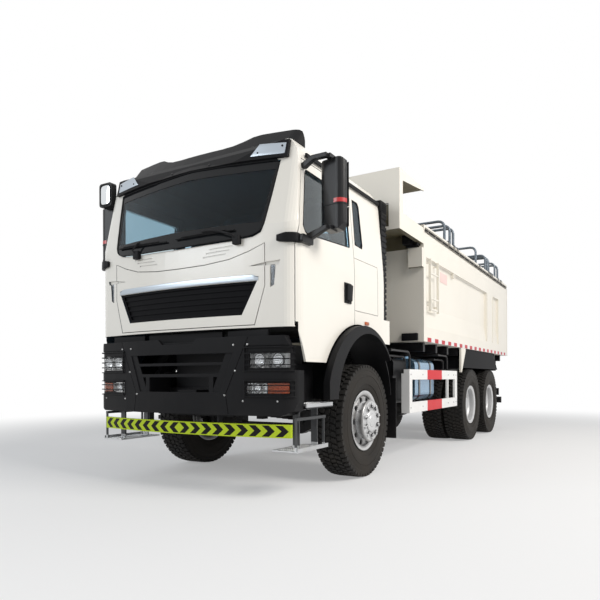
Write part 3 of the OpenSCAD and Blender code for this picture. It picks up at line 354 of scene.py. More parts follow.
# ------------------------------------------------------------------ frame, axles and engine
# Pressed rails, cast brackets, forged axles and the engine, all in satin black chassis paint.
# They are bolted and riveted together, and carry most of the road's dust.
chassis_paint = coated("chassis_paint", (0.016, 0.016, 0.018), (0.009, 0.009, 0.010), 0.42, grain=90.0, fine=0.5,
                       bump=0.25, deep_bump=0.001, dust=(1.15, 0.16, 0.04), dust_tone=DUST_DARK, worn=0.3,
                       worn_tone=(0.10, 0.095, 0.09), gloss=0.16)
finish_nodes(chassis_paint, "frame_rails", "cross_members", "frame_fittings", "engine", "front_axle",
             "drive_axles", "silencer", "knuckle_left", "knuckle_right", "track_rod", "cab_pivots",
             "hoist_barrel")

# ------------------------------------------------------------------ hoist tubes
# Four hard-chromed tubes slide out of the barrel, the last with its eye on the body.
# They are ground and polished, with a thin film of oil.
chromed_steel = coated("chromed_steel", (0.70, 0.71, 0.72), (0.62, 0.63, 0.65), 0.13, grain=600.0, fine=0.6,
                       bump=0.04, deep_bump=0.0003, dust=(1.0, 0.15, 0.0), worn=0.1, metal=1.0)
finish_nodes(chromed_steel, "hoist_stage_1", "hoist_stage_2", "hoist_stage_3", "hoist_stage_4")

# ------------------------------------------------------------------ tyres
# Radial drive tyres, 12.00 R 20 in size: a casing with ringed side walls and a lugged tread.
# One sits on each front wheel and four pairs on the drive hubs; dry mud dulls the walls.
SIDES = (("left", 1.0), ("right", -1.0))
TYRE_OUTER = (front_box[1].z - front_box[0].z) / 2
TYRE_WIDE = front_box[1].x - front_box[0].x
WHEEL_HEIGHT = (front_box[1].z + front_box[0].z) / 2
LUG_COUNT = 56


def started(name, primitive, **settings):
    """A new primitive with its name, selected alone."""
    primitive(**settings)
    bpy.context.object.name = name
    return bpy.context.object


def only(piece):
    """Leaves one piece selected and active."""
    bpy.ops.object.select_all(action="DESELECT")
    piece.select_set(True)
    bpy.context.view_layer.objects.active = piece


def edit(piece, kind="VERT"):
    """Opens one piece for editing with everything selected."""
    only(piece)
    bpy.ops.object.mode_set(mode="EDIT")
    bpy.ops.mesh.select_mode(type=kind)
    bpy.ops.mesh.select_all(action="SELECT")


def edit_faces(piece, wanted):
    """Opens one piece for editing with only the wanted faces selected."""
    edit(piece, "FACE")
    bpy.ops.mesh.select_all(action="DESELECT")
    bpy.ops.object.mode_set(mode="OBJECT")
    for face in piece.data.polygons:
        face.select = wanted(face)
    bpy.ops.object.mode_set(mode="EDIT")


def settle(weld=0.0):
    """Welds where asked, turns every face outwards and ends the edit."""
    bpy.ops.mesh.select_all(action="SELECT")
    if weld:
        bpy.ops.mesh.remove_doubles(threshold=weld)
    bpy.ops.mesh.normals_make_consistent(inside=False)
    bpy.ops.object.mode_set(mode="OBJECT")


def worked(piece, kind, **settings):
    """Adds a modifier to a piece and applies it."""
    modifier = piece.modifiers.new(kind.lower(), kind)
    for label, value in settings.items():
        setattr(modifier, label, value)
    only(piece)
    bpy.ops.object.modifier_apply(modifier=modifier.name)
    return piece


def turned_profile(name, profile, steps):
    """A profile of (x, r) points, drawn as an edge chain and spun round the X axis."""
    piece = started(name, bpy.ops.mesh.primitive_plane_add, size=0.01)
    edit(piece)
    bpy.ops.mesh.merge(type="CENTER")
    bpy.ops.transform.translate(value=(profile[0][0], 0.0, profile[0][1]))
    for before, after in zip(profile, profile[1:]):
        bpy.ops.mesh.extrude_region_move(TRANSFORM_OT_translate={
            "value": (after[0] - before[0], 0.0, after[1] - before[1])})
    bpy.ops.mesh.select_all(action="SELECT")
    bpy.ops.mesh.spin(steps=steps, angle=math.tau, center=(0.0, 0.0, 0.0), axis=(1.0, 0.0, 0.0))
    settle(0.00005)
    return piece


def joined(name, pieces):
    """Several meshes as one piece, their places kept."""
    only(pieces[0])
    for piece in pieces:
        piece.select_set(True)
    bpy.ops.object.join()
    pieces[0].name = name
    bpy.ops.object.transform_apply(location=True, rotation=True, scale=True)
    return pieces[0]


def outwards(sign):
    """The turn that makes a piece drawn along +X look away from the truck's middle."""
    return (0.0, 0.0, 0.0 if sign > 0 else math.pi)


def copy_of(piece, name):
    """A copy with its own mesh."""
    twin = piece.copy()
    twin.data = piece.data.copy()
    twin.name = name
    bpy.context.scene.collection.objects.link(twin)
    return twin


def fix_to(piece, body, look, smooth=30, place=None, turn=None, stands_for=None):
    """Sets a piece down, puts its place into its mesh, gives it a finish and fixes it to a body."""
    if place is not None:
        piece.location = place
    if turn is not None:
        piece.rotation_euler = turn
    only(piece)
    bpy.ops.object.transform_apply(location=True, rotation=True, scale=True)
    bpy.ops.object.shade_smooth_by_angle(angle=math.radians(smooth))
    piece.data.materials.clear()
    piece.data.materials.append(look.material)
    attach(piece, body)
    if stands_for:
        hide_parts(stands_for)
    return piece


def from_axle(look, axle_y):
    """The place from the middle of an axle, and its distance from the axle's line."""
    centred = look.vector("SUBTRACT", look.place(), (0.0, axle_y, WHEEL_HEIGHT))
    return centred, look.vector("LENGTH", look.vector("MULTIPLY", centred, (0.0, 1.0, 1.0)), out="Value")


def rubber_look(name, axle_y):
    """Tyre rubber: dark tread, browner side walls with moulded rings, dust in patches, thicker low down."""
    look = Finish(name, Specular_IOR_Level=0.15)
    centred, radius = from_axle(look, axle_y)
    wall = look.span(radius, 0.0, 1.0, TYRE_OUTER - 0.012, TYRE_OUTER - 0.075, "SMOOTHSTEP")
    rings = look.waves(26.0, at=centred, wave_type="RINGS", rings_direction="X")
    texture = look.effect(grain_effect, Scale=70.0, Fine_Share=0.5)
    broad = look.effect(grain_effect, Scale=6.0, Fine_Share=0.5)
    dusty = look.effect(dust_effect, Top=0.9, Amount=0.50, Everywhere=0.35)["Mask"]
    tread = look.mix(broad["Tone"], (0.014, 0.014, 0.014), (0.026, 0.025, 0.024))
    sides = look.mix(broad["Height"], (0.018, 0.0165, 0.015), (0.031, 0.028, 0.025))
    colour = look.mix(dusty, look.mix(wall, tread, sides), (0.056, 0.048, 0.040))
    look.wear(Base_Color=colour, Roughness=look.span(dusty, 0.62, 0.95),
              Normal=look.relief(texture["Height"], 0.35, 0.0012, look.relief(rings, 0.30, 0.004)))
    return look


half_wide = TYRE_WIDE / 2
wall_points = [(half_wide - back, TYRE_OUTER - down) for back, down in (
    (0.030, 0.017), (0.010, 0.034), (0.007, 0.060), (0.009, 0.064), (0.004, 0.088), (0.001, 0.110), (0.004, 0.112),
    (0.003, 0.118), (0.0005, 0.120), (0.000, 0.150), (0.004, 0.182), (0.008, 0.200), (0.013, 0.202), (0.020, 0.226),
    (0.028, 0.246), (0.036, 0.256), (0.045, 0.262), (0.050, 0.288))]
crown = [(-0.062, TYRE_OUTER - 0.015), (0.0, TYRE_OUTER - 0.014), (0.062, TYRE_OUTER - 0.015)]
casing = turned_profile("tyre_casing", [(-x, r) for x, r in reversed(wall_points)] + crown + wall_points, 112)


def tread_row(middle, wide, long, lean, turn, drop):
    """One row of lugs: a block with bevelled top, shaped once and repeated round the casing."""
    lug = started("tyre_lugs", bpy.ops.mesh.primitive_cube_add, size=1.0,
                  location=(middle, 0.0, TYRE_OUTER - 0.014))
    lug.scale = (wide, long, 0.028)
    bpy.ops.object.transform_apply(location=True, rotation=True, scale=True)
    for corner in lug.data.vertices:
        across = corner.co.x - middle
        corner.co.y += lean * across
        if corner.co.z < TYRE_OUTER - 0.015:
            corner.co.y *= 1.12
        elif drop and across * middle > 0.0:
            corner.co.z -= drop
            corner.co.x += math.copysign(0.004, middle)
        if drop and across * middle > 0.0 and corner.co.z < TYRE_OUTER - 0.020:
            corner.co.z -= 0.018
    edit(lug)
    bpy.ops.mesh.bevel(offset=0.0028, segments=1, affect="EDGES")
    bpy.ops.mesh.select_all(action="SELECT")
    bpy.ops.transform.rotate(value=-turn, orient_axis="X", center_override=(0.0, 0.0, 0.0))
    bpy.ops.mesh.spin(steps=LUG_COUNT, dupli=True, angle=math.tau, center=(0.0, 0.0, 0.0), axis=(1.0, 0.0, 0.0))
    settle(0.0001)
    return lug


pitch = math.tau / LUG_COUNT
tyre_pattern = joined("tyre_pattern", [
    casing,
    tread_row(half_wide - 0.036, 0.052, 0.044, 0.10, 0.0, 0.006),
    tread_row(-(half_wide - 0.036), 0.052, 0.044, 0.10, pitch * 0.5, 0.006),
    tread_row(0.062, 0.054, 0.042, -0.35, pitch * 0.45, 0.0),
    tread_row(-0.062, 0.054, 0.042, -0.35, pitch * 0.95, 0.0),
    tread_row(0.0, 0.050, 0.040, 0.30, pitch * 0.2, 0.0)])
rubber_looks = {}


def fit_tyre(name, across, axle_y, sign, body, node):
    """A copy of the tyre at a hub, its outer face away from the truck's middle."""
    key = round(axle_y, 3)
    if key not in rubber_looks:
        rubber_looks[key] = rubber_look("tyre_rubber_%d" % (len(rubber_looks) + 1), axle_y)
    fix_to(copy_of(tyre_pattern, name), body, rubber_looks[key], 32,
           (across, axle_y, WHEEL_HEIGHT), outwards(sign), node)


for side, sign in SIDES:
    low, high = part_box("front_tyre_" + side)
    fit_tyre("tyre_front_" + side, (low.x + high.x) / 2, (low.y + high.y) / 2, sign, "front_wheel_" + side,
             "front_tyre_" + side)
    for axle in ("1", "2"):
        node = "drive_tyres_%s_%s" % (axle, side)
        low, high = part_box(node)
        outer = (high.x if sign > 0 else low.x) - sign * half_wide
        inner = (low.x if sign > 0 else high.x) + sign * half_wide
        for label, across in (("outer", outer), ("inner", inner)):
            fit_tyre("tyre_drive_%s_%s_%s" % (axle, side, label), across, (low.y + high.y) / 2, sign,
                     "twin_wheels_%s_%s" % (axle, side), node)
bpy.data.objects.remove(tyre_pattern)

# ------------------------------------------------------------------ wheels
# Pressed steel discs in rolled rims, sprayed silver, with round hand holes; the front hubs
# stand out past the rim. Ten nuts hold each wheel, with a turned cap over the hub.
wheel_enamel, front_enamel = (coated(name, (0.66, 0.665, 0.67), (0.56, 0.565, 0.575), 0.34, grain=170.0,
                                     fine=0.5, bump=0.12, deep_bump=0.0007, dust=(0.75, 0.35, 0.10),
                                     dust_tone=DUST_DARK, worn=0.4, worn_tone=(0.20, 0.19, 0.18), metal=0.35,
                                     radius=0.005) for name in ("wheel_enamel", "front_enamel"))
finish_nodes(wheel_enamel, *["drive_wheels_%d_%s" % (axle, side) for axle in (1, 2) for side, sign in SIDES])
look = front_enamel
from_hub = from_axle(look, FRONT_AXLE)[1]
well = look.times(look.span(from_hub, 0.0, 1.0, 0.185, 0.200), look.span(from_hub, 1.0, 0.0, 0.262, 0.276))
brake_dust = look.times(well, look.span(look.noise(5.0, 4.0), 0.35, 0.85, 0.3, 0.7))
look.wear(Base_Color=look.mix(brake_dust, look.colour, (0.075, 0.066, 0.058)))
finish_nodes(front_enamel, *["front_wheel_" + side for side, sign in SIDES])
nut_steel = coated("nut_steel", (0.60, 0.60, 0.60), (0.48, 0.48, 0.49), 0.36, grain=300.0, fine=0.6, bump=0.2,
                   deep_bump=0.0004, dust=(0.8, 0.2, 0.1), dust_tone=(0.15, 0.13, 0.11), worn=0.5,
                   worn_tone=(0.7, 0.7, 0.7), metal=0.5, radius=0.002)
NUT_COUNT = 10


def hexagon_nut(name, flats, height):
    """A hexagon nut with a flanged foot and the end of its stud, along +X."""
    nut = started(name, bpy.ops.mesh.primitive_cylinder_add, vertices=6, radius=flats, depth=height,
                  rotation=(0.0, math.pi / 2, 0.0))
    bpy.ops.object.transform_apply(location=True, rotation=True, scale=True)
    edit_faces(nut, lambda face: face.normal.x > 0.9)
    bpy.ops.mesh.inset(thickness=flats * 0.30, depth=flats * 0.10)
    bpy.ops.mesh.extrude_region_move(TRANSFORM_OT_translate={"value": (height * 0.45, 0.0, 0.0)})
    bpy.ops.mesh.inset(thickness=flats * 0.12, depth=flats * 0.10)
    bpy.ops.object.mode_set(mode="OBJECT")
    edit_faces(nut, lambda face: face.normal.x < -0.9)
    bpy.ops.transform.resize(value=(1.0, 1.35, 1.35), center_override=(0.0, 0.0, 0.0))
    bpy.ops.object.mode_set(mode="OBJECT")
    return nut


def nut_ring(name, across, circle, flats, height, sign, axle_y, body):
    """The ten nuts of one wheel with their dark washers, copied round its bolt circle."""
    nuts, washers = [], []
    for step in range(NUT_COUNT):
        angle = math.tau * (step + 0.5) / NUT_COUNT
        nuts.append(hexagon_nut("nut", flats, height))
        washers.append(turned_profile("washer", [(-0.004, 0.002), (-0.004, flats * 1.75), (0.0012, flats * 1.7),
                                                 (0.0016, flats * 1.5), (0.0016, 0.002)], 20))
        for piece in (nuts[-1], washers[-1]):
            piece.location = (0.0, circle * math.cos(angle), circle * math.sin(angle))
    for label, ring, look in (("wheel_nuts_", nuts, nut_steel), ("nut_seats_", washers, chassis_paint)):
        fix_to(joined(label + name, ring), body, look, 25, (across, axle_y, WHEEL_HEIGHT),
               outwards(sign))


front_cap = [(-0.012, 0.001), (-0.012, 0.110), (-0.002, 0.110), (0.004, 0.102), (0.006, 0.080), (0.004, 0.066),
             (0.009, 0.060), (0.012, 0.030), (0.012, 0.001)]
drive_cap = [(-0.010, 0.001), (-0.010, 0.118), (0.006, 0.118), (0.012, 0.110), (0.014, 0.090), (0.020, 0.084),
             (0.022, 0.050), (0.028, 0.044), (0.030, 0.001)]
for side, sign in SIDES:
    for node, body, profile, deep, nuts in (
            ("front_wheel_" + side, "front_wheel_" + side, front_cap, 0.010, (0.003, 0.143, 0.0125, 0.018)),
            ("drive_wheels_1_" + side, "twin_wheels_1_" + side, drive_cap, 0.190, (0.252, 0.1675, 0.0165, 0.026)),
            ("drive_wheels_2_" + side, "twin_wheels_2_" + side, drive_cap, 0.190, (0.252, 0.1675, 0.0165, 0.026))):
        low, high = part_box(node)
        face, middle = (high.x if sign > 0 else low.x), (low.y + high.y) / 2
        nut_ring(body, face - sign * nuts[0], nuts[1], nuts[2], nuts[3], sign, middle, body)
        fix_to(turned_profile("hub_cap_" + body, profile, 48), body, wheel_enamel, 30,
               (face - sign * deep, middle, WHEEL_HEIGHT), outwards(sign))

# ------------------------------------------------------------------ headlamps and lower lamps
# Two lamp units let into each end of the bumper. The upper holds two round reflectors, the
# lower a fog lamp and an amber turn signal; moulded housings behind clear hard lenses.
BOW = 11.6                             # twice the radius of the bowed fronts, seen from above
BUMPER_PLAN = (1.125, -1.460, 0.120)   # half width, nose from the front axle, corner radius
CAB_PLAN = (1.150, -1.425, 0.140)
SCREEN_PLAN = (1.160, -1.410, 0.150)
SCREEN_LEAN = math.radians(13.0)
SCREEN_FOOT = 2.150
TO_FRONT = (0.0, 0.0, -math.pi / 2)    # turns a piece drawn along +X to the front


def bowed_line(x, plan, inset):
    """How far forward a bowed front with round corners stands at x, set back by inset."""
    half, nose, corner = plan
    flat_end = half - corner
    if abs(x) <= flat_end:
        return nose + x * x / BOW + inset
    run = min(abs(x) - flat_end, corner - inset)
    return nose + flat_end * flat_end / BOW + corner - math.sqrt((corner - inset) ** 2 - run * run)


def bumper_face(x, z, inset):
    return FRONT_AXLE + bowed_line(x, BUMPER_PLAN, inset)


def screen_face(x, z, inset):
    """The windscreen's own leaning surface, also below the cab's bend."""
    away = bowed_line(x, SCREEN_PLAN, inset)
    up = (z - SCREEN_FOOT + away * math.sin(SCREEN_LEAN)) / math.cos(SCREEN_LEAN)
    return FRONT_AXLE + away * math.cos(SCREEN_LEAN) + up * math.sin(SCREEN_LEAN)


def cab_face(x, z, inset):
    """The cab's front: upright below, leaning back over the windscreen."""
    return max(FRONT_AXLE + bowed_line(x, CAB_PLAN, inset), screen_face(x, z, inset))


def front_panel(name, face, x_span, z_span, inset, thick, cuts=(16, 4), edge=0.0012):
    """A plate that follows a bowed front between two x and two z values, thick backwards."""
    x_low, x_high = sorted(x_span)
    panel = started(name, bpy.ops.mesh.primitive_cube_add, size=1.0)
    edit(panel)
    mesh = bmesh.from_edit_mesh(panel.data)
    for axis, count in ((0, cuts[0]), (2, cuts[1])):
        lines = [line for line in mesh.edges if abs((line.verts[0].co - line.verts[1].co)[axis]) > 1e-4]
        bmesh.ops.subdivide_edges(mesh, edges=lines, cuts=count, use_grid_fill=True)
    for corner in mesh.verts:
        x = x_low + (corner.co.x + 0.5) * (x_high - x_low)
        z = z_span[0] + (corner.co.z + 0.5) * (z_span[1] - z_span[0])
        corner.co = (x, face(x, z, inset + (corner.co.y + 0.5) * thick), z)
    bmesh.update_edit_mesh(panel.data)
    settle()
    return worked(panel, "BEVEL", width=edge, segments=2, limit_method="ANGLE", angle_limit=math.radians(40.0))


def bright_look(name, colour, rough, flute=0.0):
    """Vacuum-coated lamp reflector, with pressed upright flutes where asked."""
    look = Finish(name, Metallic=1.0)
    tone = look.effect(grain_effect, Scale=30.0, Fine_Share=0.5)
    look.wear(Base_Color=look.mix(tone["Tone"], (0.82 * colour, 0.82 * colour, 0.83 * colour),
                                  (colour, colour, 1.01 * colour)),
              Roughness=look.span(tone["Height"], rough * 0.7, rough * 1.3),
              Normal=look.relief(look.waves(16.0), flute, 0.004))
    return look


def lens_look(name, colour, through, rough=0.04, haze=14.0, bend=1.45, **sockets):
    """Clear, tinted or coloured hard lens or pane with the faintest wipe marks."""
    look = Finish(name, Transmission_Weight=through, IOR=bend, **sockets)
    film = look.effect(grain_effect, Scale=haze, Fine_Share=0.6)
    look.wear(Base_Color=look.mix(film["Tone"], tuple(0.92 * part for part in colour), colour),
              Roughness=look.span(film["Height"], rough * 0.6, rough * 1.6))
    return look


reflector_bright = bright_look("reflector_bright", 0.88, 0.08)
reflector_fluted = bright_look("reflector_fluted", 0.60, 0.20, flute=0.5)
reflector_plain = bright_look("reflector_plain", 0.42, 0.30, flute=0.2)
lens_clear = lens_look("lens_clear", (0.95, 0.97, 0.98), 0.96)
# The smoked lens is tinted dark partly as painted shade of the crease at the cab's corners.
lens_smoke_and_shade = lens_look("lens_smoke_and_shade", (0.34, 0.37, 0.40), 0.80)
lens_amber = lens_look("lens_amber", (0.62, 0.13, 0.02), 0.70)
lens_red = lens_look("lens_red", (0.60, 0.02, 0.02), 0.60)


def lamp_bowl(name, centre, radius, deep):
    """A round reflector facing forward, with its rim and the bulb's cap in the middle."""
    bowl = turned_profile(name, [(-deep, 0.004), (-deep * 0.96, radius * 0.30), (-deep * 0.72, radius * 0.62),
                                 (-deep * 0.35, radius * 0.86), (0.0, radius), (0.004, radius),
                                 (0.004, radius * 1.09), (-0.004, radius * 1.12), (-deep - 0.004, radius * 0.5),
                                 (-deep - 0.004, 0.004)], 40)
    cap = turned_profile("bulb_cap", [
        (-deep, 0.004), (-deep, radius * 0.26), (-deep * 0.25, radius * 0.24), (-deep * 0.10, radius * 0.15),
        (-deep * 0.06, 0.002)], 24)
    fix_to(joined(name, [bowl, cap]), "chassis", reflector_bright, 40, centre, TO_FRONT)
    ring = turned_profile(name + "_ring", [(0.003, radius * 0.92), (0.009, radius * 0.95), (0.009, radius * 1.05),
                                           (0.003, radius * 1.08), (0.003, radius * 0.92)], 40)
    fix_to(ring, "chassis", moulded_black, 40, centre, TO_FRONT)


for side, sign in SIDES:
    upper, lower = (1.071, 1.195), (0.863, 0.947)
    for label, x0, x1, height, inset, thick, look, slot in (
            ("lamp_housing_upper", 0.749, 1.082, upper, 0.070, 0.004, reflector_plain, "gloss_black"),
            ("headlamp_lens", 0.749, 1.082, upper, 0.013, 0.004, lens_clear, "lamp_clear"),
            ("lamp_divider", 0.904, 0.914, upper, 0.028, 0.045, moulded_black, "gloss_black"),
            ("lamp_housing_lower", 0.719, 1.082, lower, 0.060, 0.004, reflector_fluted, "gloss_black"),
            ("fog_lens", 0.719, 0.900, lower, 0.013, 0.004, lens_clear, "lamp_clear"),
            ("lower_divider", 0.900, 0.908, lower, 0.020, 0.042, moulded_black, "gloss_black"),
            ("turn_lens", 0.908, 1.082, lower, 0.013, 0.004, lens_amber, "lamp_clear")):
        fix_to(front_panel(label + "_" + side, bumper_face, (sign * x0, sign * x1), height, inset, thick),
               "chassis", look, stands_for="front_lamps" if label == "lamp_housing_upper" else None)
    for label, x, z, radius, deep in (("headlamp_inner", 0.829, 1.133, 0.0555, 0.036),
                                      ("headlamp_outer", 0.992, 1.133, 0.0555, 0.036),
                                      ("fog_lamp", 0.812, 0.905, 0.036, 0.026)):
        lamp_bowl(label + "_" + side, (sign * x, bumper_face(x, z, 0.030), z), radius, deep)

# ------------------------------------------------------------------ bumper bolts
# Zinc-plated flange bolts that hold the bumper's end sections and lamp guards.
# Each sits on the moulded face.
bolt_steel = coated("bolt_steel", (0.42, 0.42, 0.42), (0.30, 0.30, 0.30), 0.35, grain=400.0, fine=0.5, bump=0.15,
                    deep_bump=0.0003, dust=(0.8, 0.2, 0.1), metal=1.0, radius=0.001)


def bolt_head(place, facing, size):
    """A hexagon flange bolt whose head looks along facing."""
    bolt = hexagon_nut("bolt", size, size * 0.7)
    bolt.rotation_euler = Vector(facing).to_track_quat("X", "Z").to_euler()
    bolt.location = place
    return bolt


bumper_bolts = []
for side, sign in SIDES:
    for x, z in ((0.732, 1.262), (0.514, 0.845), (0.616, 1.048), (0.600, 1.262), (0.690, 0.800), (1.000, 0.800)):
        ahead = bumper_face(x + 0.01, z, 0.0) - bumper_face(x - 0.01, z, 0.0)
        bumper_bolts.append(bolt_head((sign * x, bumper_face(x, z, -0.001), z), (sign * ahead / 0.02, -1.0, 0.0),
                                      0.008))
fix_to(joined("bumper_bolts", bumper_bolts), "chassis", bolt_steel, 25)

# ------------------------------------------------------------------ chevron bar
# A bowed steel plate bolted below the bumper. Retroreflective film covers its face: black
# arrows on yellow-green that point outwards from the middle; its brackets are painted black.
ARROW_MIDDLE, ARROW_HALF, ARROW_END = 0.557, 0.0455, 1.066    # height, half height, last x
ARROW_PITCH, ARROW_SLANT, ARROW_SHARE = 0.1185, 1.15, 0.47
FILM_TOP = 0.6125
film = Finish("chevron_film", Specular_IOR_Level=0.10)
across = film.math("ABSOLUTE", film.along("X"))
off_middle = film.math("ABSOLUTE", film.math("SUBTRACT", film.along("Z"), ARROW_MIDDLE))
step = film.math("FRACT", film.math("DIVIDE", film.math("ADD", across, film.times(off_middle, ARROW_SLANT)),
                                    ARROW_PITCH))
arrow = film.times(film.above(step, ARROW_SHARE), film.below(off_middle, ARROW_HALF))
arrow = film.times(arrow, film.below(across, ARROW_END))
bare = film.larger(film.above(film.along("Z"), FILM_TOP), film.above(film.facing("Y"), 0.2))
cell = film.cells(260.0).outputs["Distance"]
colour = film.mix(arrow, film.mix(cell, (0.55, 0.68, 0.04), (0.45, 0.59, 0.02)), (0.006, 0.006, 0.007))
dusty = film.effect(dust_effect, Top=0.9, Amount=0.10, Everywhere=0.2)["Mask"]
film.wear(Base_Color=film.mix(bare, film.mix(dusty, colour, (0.25, 0.22, 0.17)), (0.018, 0.018, 0.020)),
          Roughness=film.span(dusty, 0.38, 0.8), Normal=film.relief(cell, 0.12, 0.0004))
finish_nodes(film, "chevron_bar")

# ------------------------------------------------------------------ cab steps
# Pressed aluminium treads on bent hangers under each door, bare metal with a brushed skin.
# Their tops carry rows of raised, open teeth for grip, and their front lips are serrated.
tread_metal, hanger_metal = (
    coated(name, (0.66, 0.67, 0.68), (0.52, 0.53, 0.54), rough, grain=220.0, fine=0.6, bump=0.25,
           dust=(0.9, 0.35, 0.12), dust_tone=(0.22, 0.20, 0.17), worn=0.3, worn_tone=(bright, bright, bright),
           metal=0.9, radius=0.003)
    for name, rough, bright in (("tread_metal", 0.34, 0.80), ("hanger_metal", 0.38, 0.60)))
look = hanger_metal
on_tread = look.bands("Z", (0.375, 0.4275), (0.744, 0.800))
look.wear(Base_Color=look.mix(on_tread, (0.085, 0.087, 0.090), look.colour))
finish_nodes(hanger_metal, "cab_steps")


def tread_teeth(sign, x_span, y_span, top, rows, steps):
    """Rows of raised rings on a tread, one shaped and the rest copied."""
    tooth = started("tooth", bpy.ops.mesh.primitive_cylinder_add, vertices=10, radius=0.0115, depth=0.006,
                    location=(0.0, 0.0, 0.002))
    for corner in tooth.data.vertices:
        if corner.co.z > 0.0:
            corner.co.x *= 0.80
            corner.co.y *= 0.80
    edit_faces(tooth, lambda face: face.normal.z > 0.9)
    bpy.ops.mesh.inset(thickness=0.0022, depth=0.0)
    bpy.ops.mesh.extrude_region_move(TRANSFORM_OT_translate={"value": (0.0, 0.0, -0.004)})
    bpy.ops.object.mode_set(mode="OBJECT")
    laid = []
    for row in range(rows):
        for spot in range(steps - row % 2):
            laid.append(copy_of(tooth, "tooth"))
            laid[-1].location = (
                sign * (x_span[0] + (x_span[1] - x_span[0]) * (row + 0.5) / rows),
                FRONT_AXLE + y_span[0] + (y_span[1] - y_span[0]) * (spot + 0.5 + 0.5 * (row % 2)) / steps, top)
    bpy.data.objects.remove(tooth)
    return joined("tread", laid)


for side, sign in SIDES:
    upper = tread_teeth(sign, (1.000, 1.130), (-1.150, -0.725), 0.7745, 4, 14)
    lower = tread_teeth(sign, (0.902, 1.124), (-1.280, -0.800), 0.3965, 7, 16)
    fix_to(joined("step_treads_" + side, [upper, lower]), "chassis", tread_metal)

# ------------------------------------------------------------------ windows
# Laminated windscreen and toughened side panes, lightly tinted; they are bonded or run in
# felt channels. A baked black border hides the bonding, its top widened as painted shade under
# the sun visor, and rubber seals close the edges.
screen_glass = lens_look("screen_glass", (0.42, 0.60, 0.71), 1.0, 0.003, 2.2, 1.22)
door_pane_glass = lens_look("door_pane_glass", (0.62, 0.72, 0.75), 0.97, 0.003, 2.2, 1.4)
finish_nodes(screen_glass, "cab_glass")
finish_nodes(door_pane_glass, "door_glass_left", "door_glass_right")
seal_rubber = coated("seal_rubber", (0.016, 0.016, 0.017), (0.010, 0.010, 0.011), 0.60, grain=300.0, fine=0.5,
                     bump=0.15, deep_bump=0.0004, dust=(0.9, 0.2, 0.05), dust_tone=DUST_DARK, worn=0.1,
                     worn_tone=(0.05, 0.05, 0.05), radius=0.002, gloss=0.12)
baked_border_and_shade = coated("baked_border_and_shade", (0.012, 0.013, 0.015), (0.008, 0.009, 0.010), 0.12, grain=60.0, bump=0.02,
                      deep_bump=0.0002, dust=(0.5, 0.0, 0.0), worn=0.0, radius=0.001, gloss=0.2)


def rounded_outline(corners, radius, per_corner=5):
    """A closed outline of flat points with each corner eased by a short curve."""
    eased = []
    for spot in range(len(corners)):
        before, here, after = (Vector(corners[spot + step]) for step in (-1, 0, 1 - len(corners)))
        reach = min(radius, (before - here).length * 0.45, (after - here).length * 0.45)
        start = here + (before - here).normalized() * reach
        end = here + (after - here).normalized() * reach
        for step in range(per_corner + 1):
            t = step / per_corner
            eased.append(tuple(start * (1 - t) ** 2 + here * 2 * t * (1 - t) + end * t ** 2))
    return eased


def fine_outline(points, step):
    """The same closed outline with long edges cut into short ones."""
    fine = []
    for here, after in zip(points, points[1:] + points[:1]):
        here, after = Vector(here), Vector(after)
        cuts = max(1, round((after - here).length / step))
        fine += [tuple(here.lerp(after, part / cuts)) for part in range(cuts)]
    return fine


def shrunk(points, by):
    """An outline drawn inwards by a distance, point for point."""
    area = sum(a[0] * b[1] - b[0] * a[1] for a, b in zip(points, points[1:] + points[:1]))
    turn = math.copysign(by, area)
    drawn = []
    for before, here, after in zip(points[-1:] + points[:-1], points, points[1:] + points[:1]):
        along = (Vector(after) - Vector(before)).normalized()
        drawn.append((here[0] - along.y * turn, here[1] + along.x * turn))
    return drawn


def outline_ribbon(name, outer, inner, thick, place_point):
    """A flat band between two outlines of equal count, laid on a surface and thickened."""
    band = started(name, bpy.ops.mesh.primitive_circle_add, vertices=len(outer), fill_type="NOTHING")
    edit(band, "EDGE")
    bpy.ops.mesh.extrude_edges_move()
    bpy.ops.object.mode_set(mode="OBJECT")
    for corner, point in zip(band.data.vertices, outer + inner):
        corner.co = place_point(*point)
    worked(band, "SOLIDIFY", thickness=thick, offset=0.0)
    edit(band)
    settle()
    return band


screen_half = [(0.0, 2.118), (0.560, 2.128), (0.760, 2.145), (0.835, 2.175), (0.868, 2.240), (0.905, 2.500),
               (0.940, 2.795), (0.0, 2.842)]
screen_edge = fine_outline(rounded_outline(screen_half + [(-x, z) for x, z in reversed(screen_half[1:-1])],
                                           0.05), 0.05)
# The border's top reaches up to 45 mm further down: painted shade under the sun visor. At the foot it widens into
# the black frit where the wipers park.
border_and_shade_inner = [(x, max(z - 0.045 * min(1.0, max(0.0, z - 2.62) / 0.10), 2.276 - 0.014 * abs(x)))
                for x, z in shrunk(screen_edge, 0.036)]
fix_to(outline_ribbon("windscreen_border_and_shade", shrunk(screen_edge, -0.002), border_and_shade_inner, 0.001,
                      lambda x, z: (x, screen_face(x, z, 0.0045), z)), "cab", baked_border_and_shade)
seal_outer = [(x, z + 0.024 * min(1.0, max(0.0, (z - 2.76) / 0.03))) for x, z in shrunk(screen_edge, -0.010)]
fix_to(outline_ribbon("windscreen_seal", seal_outer, shrunk(screen_edge, 0.006), 0.006,
                      lambda x, z: (x, min(screen_face(x, z, -0.001), cab_face(x, z, -0.001)), z)),
       "cab", seal_rubber)
door_edge = [(-1.200, 2.230), (-1.170, 2.180), (-1.130, 2.165), (-0.350, 2.215), (-0.335, 2.235), (-0.335, 2.720),
             (-1.080, 2.730), (-1.105, 2.700)]
quarter_edge = [(-0.225, 2.270), (-0.060, 2.260), (-0.040, 2.300), (-0.060, 2.680), (-0.090, 2.720),
                (-0.215, 2.720)]


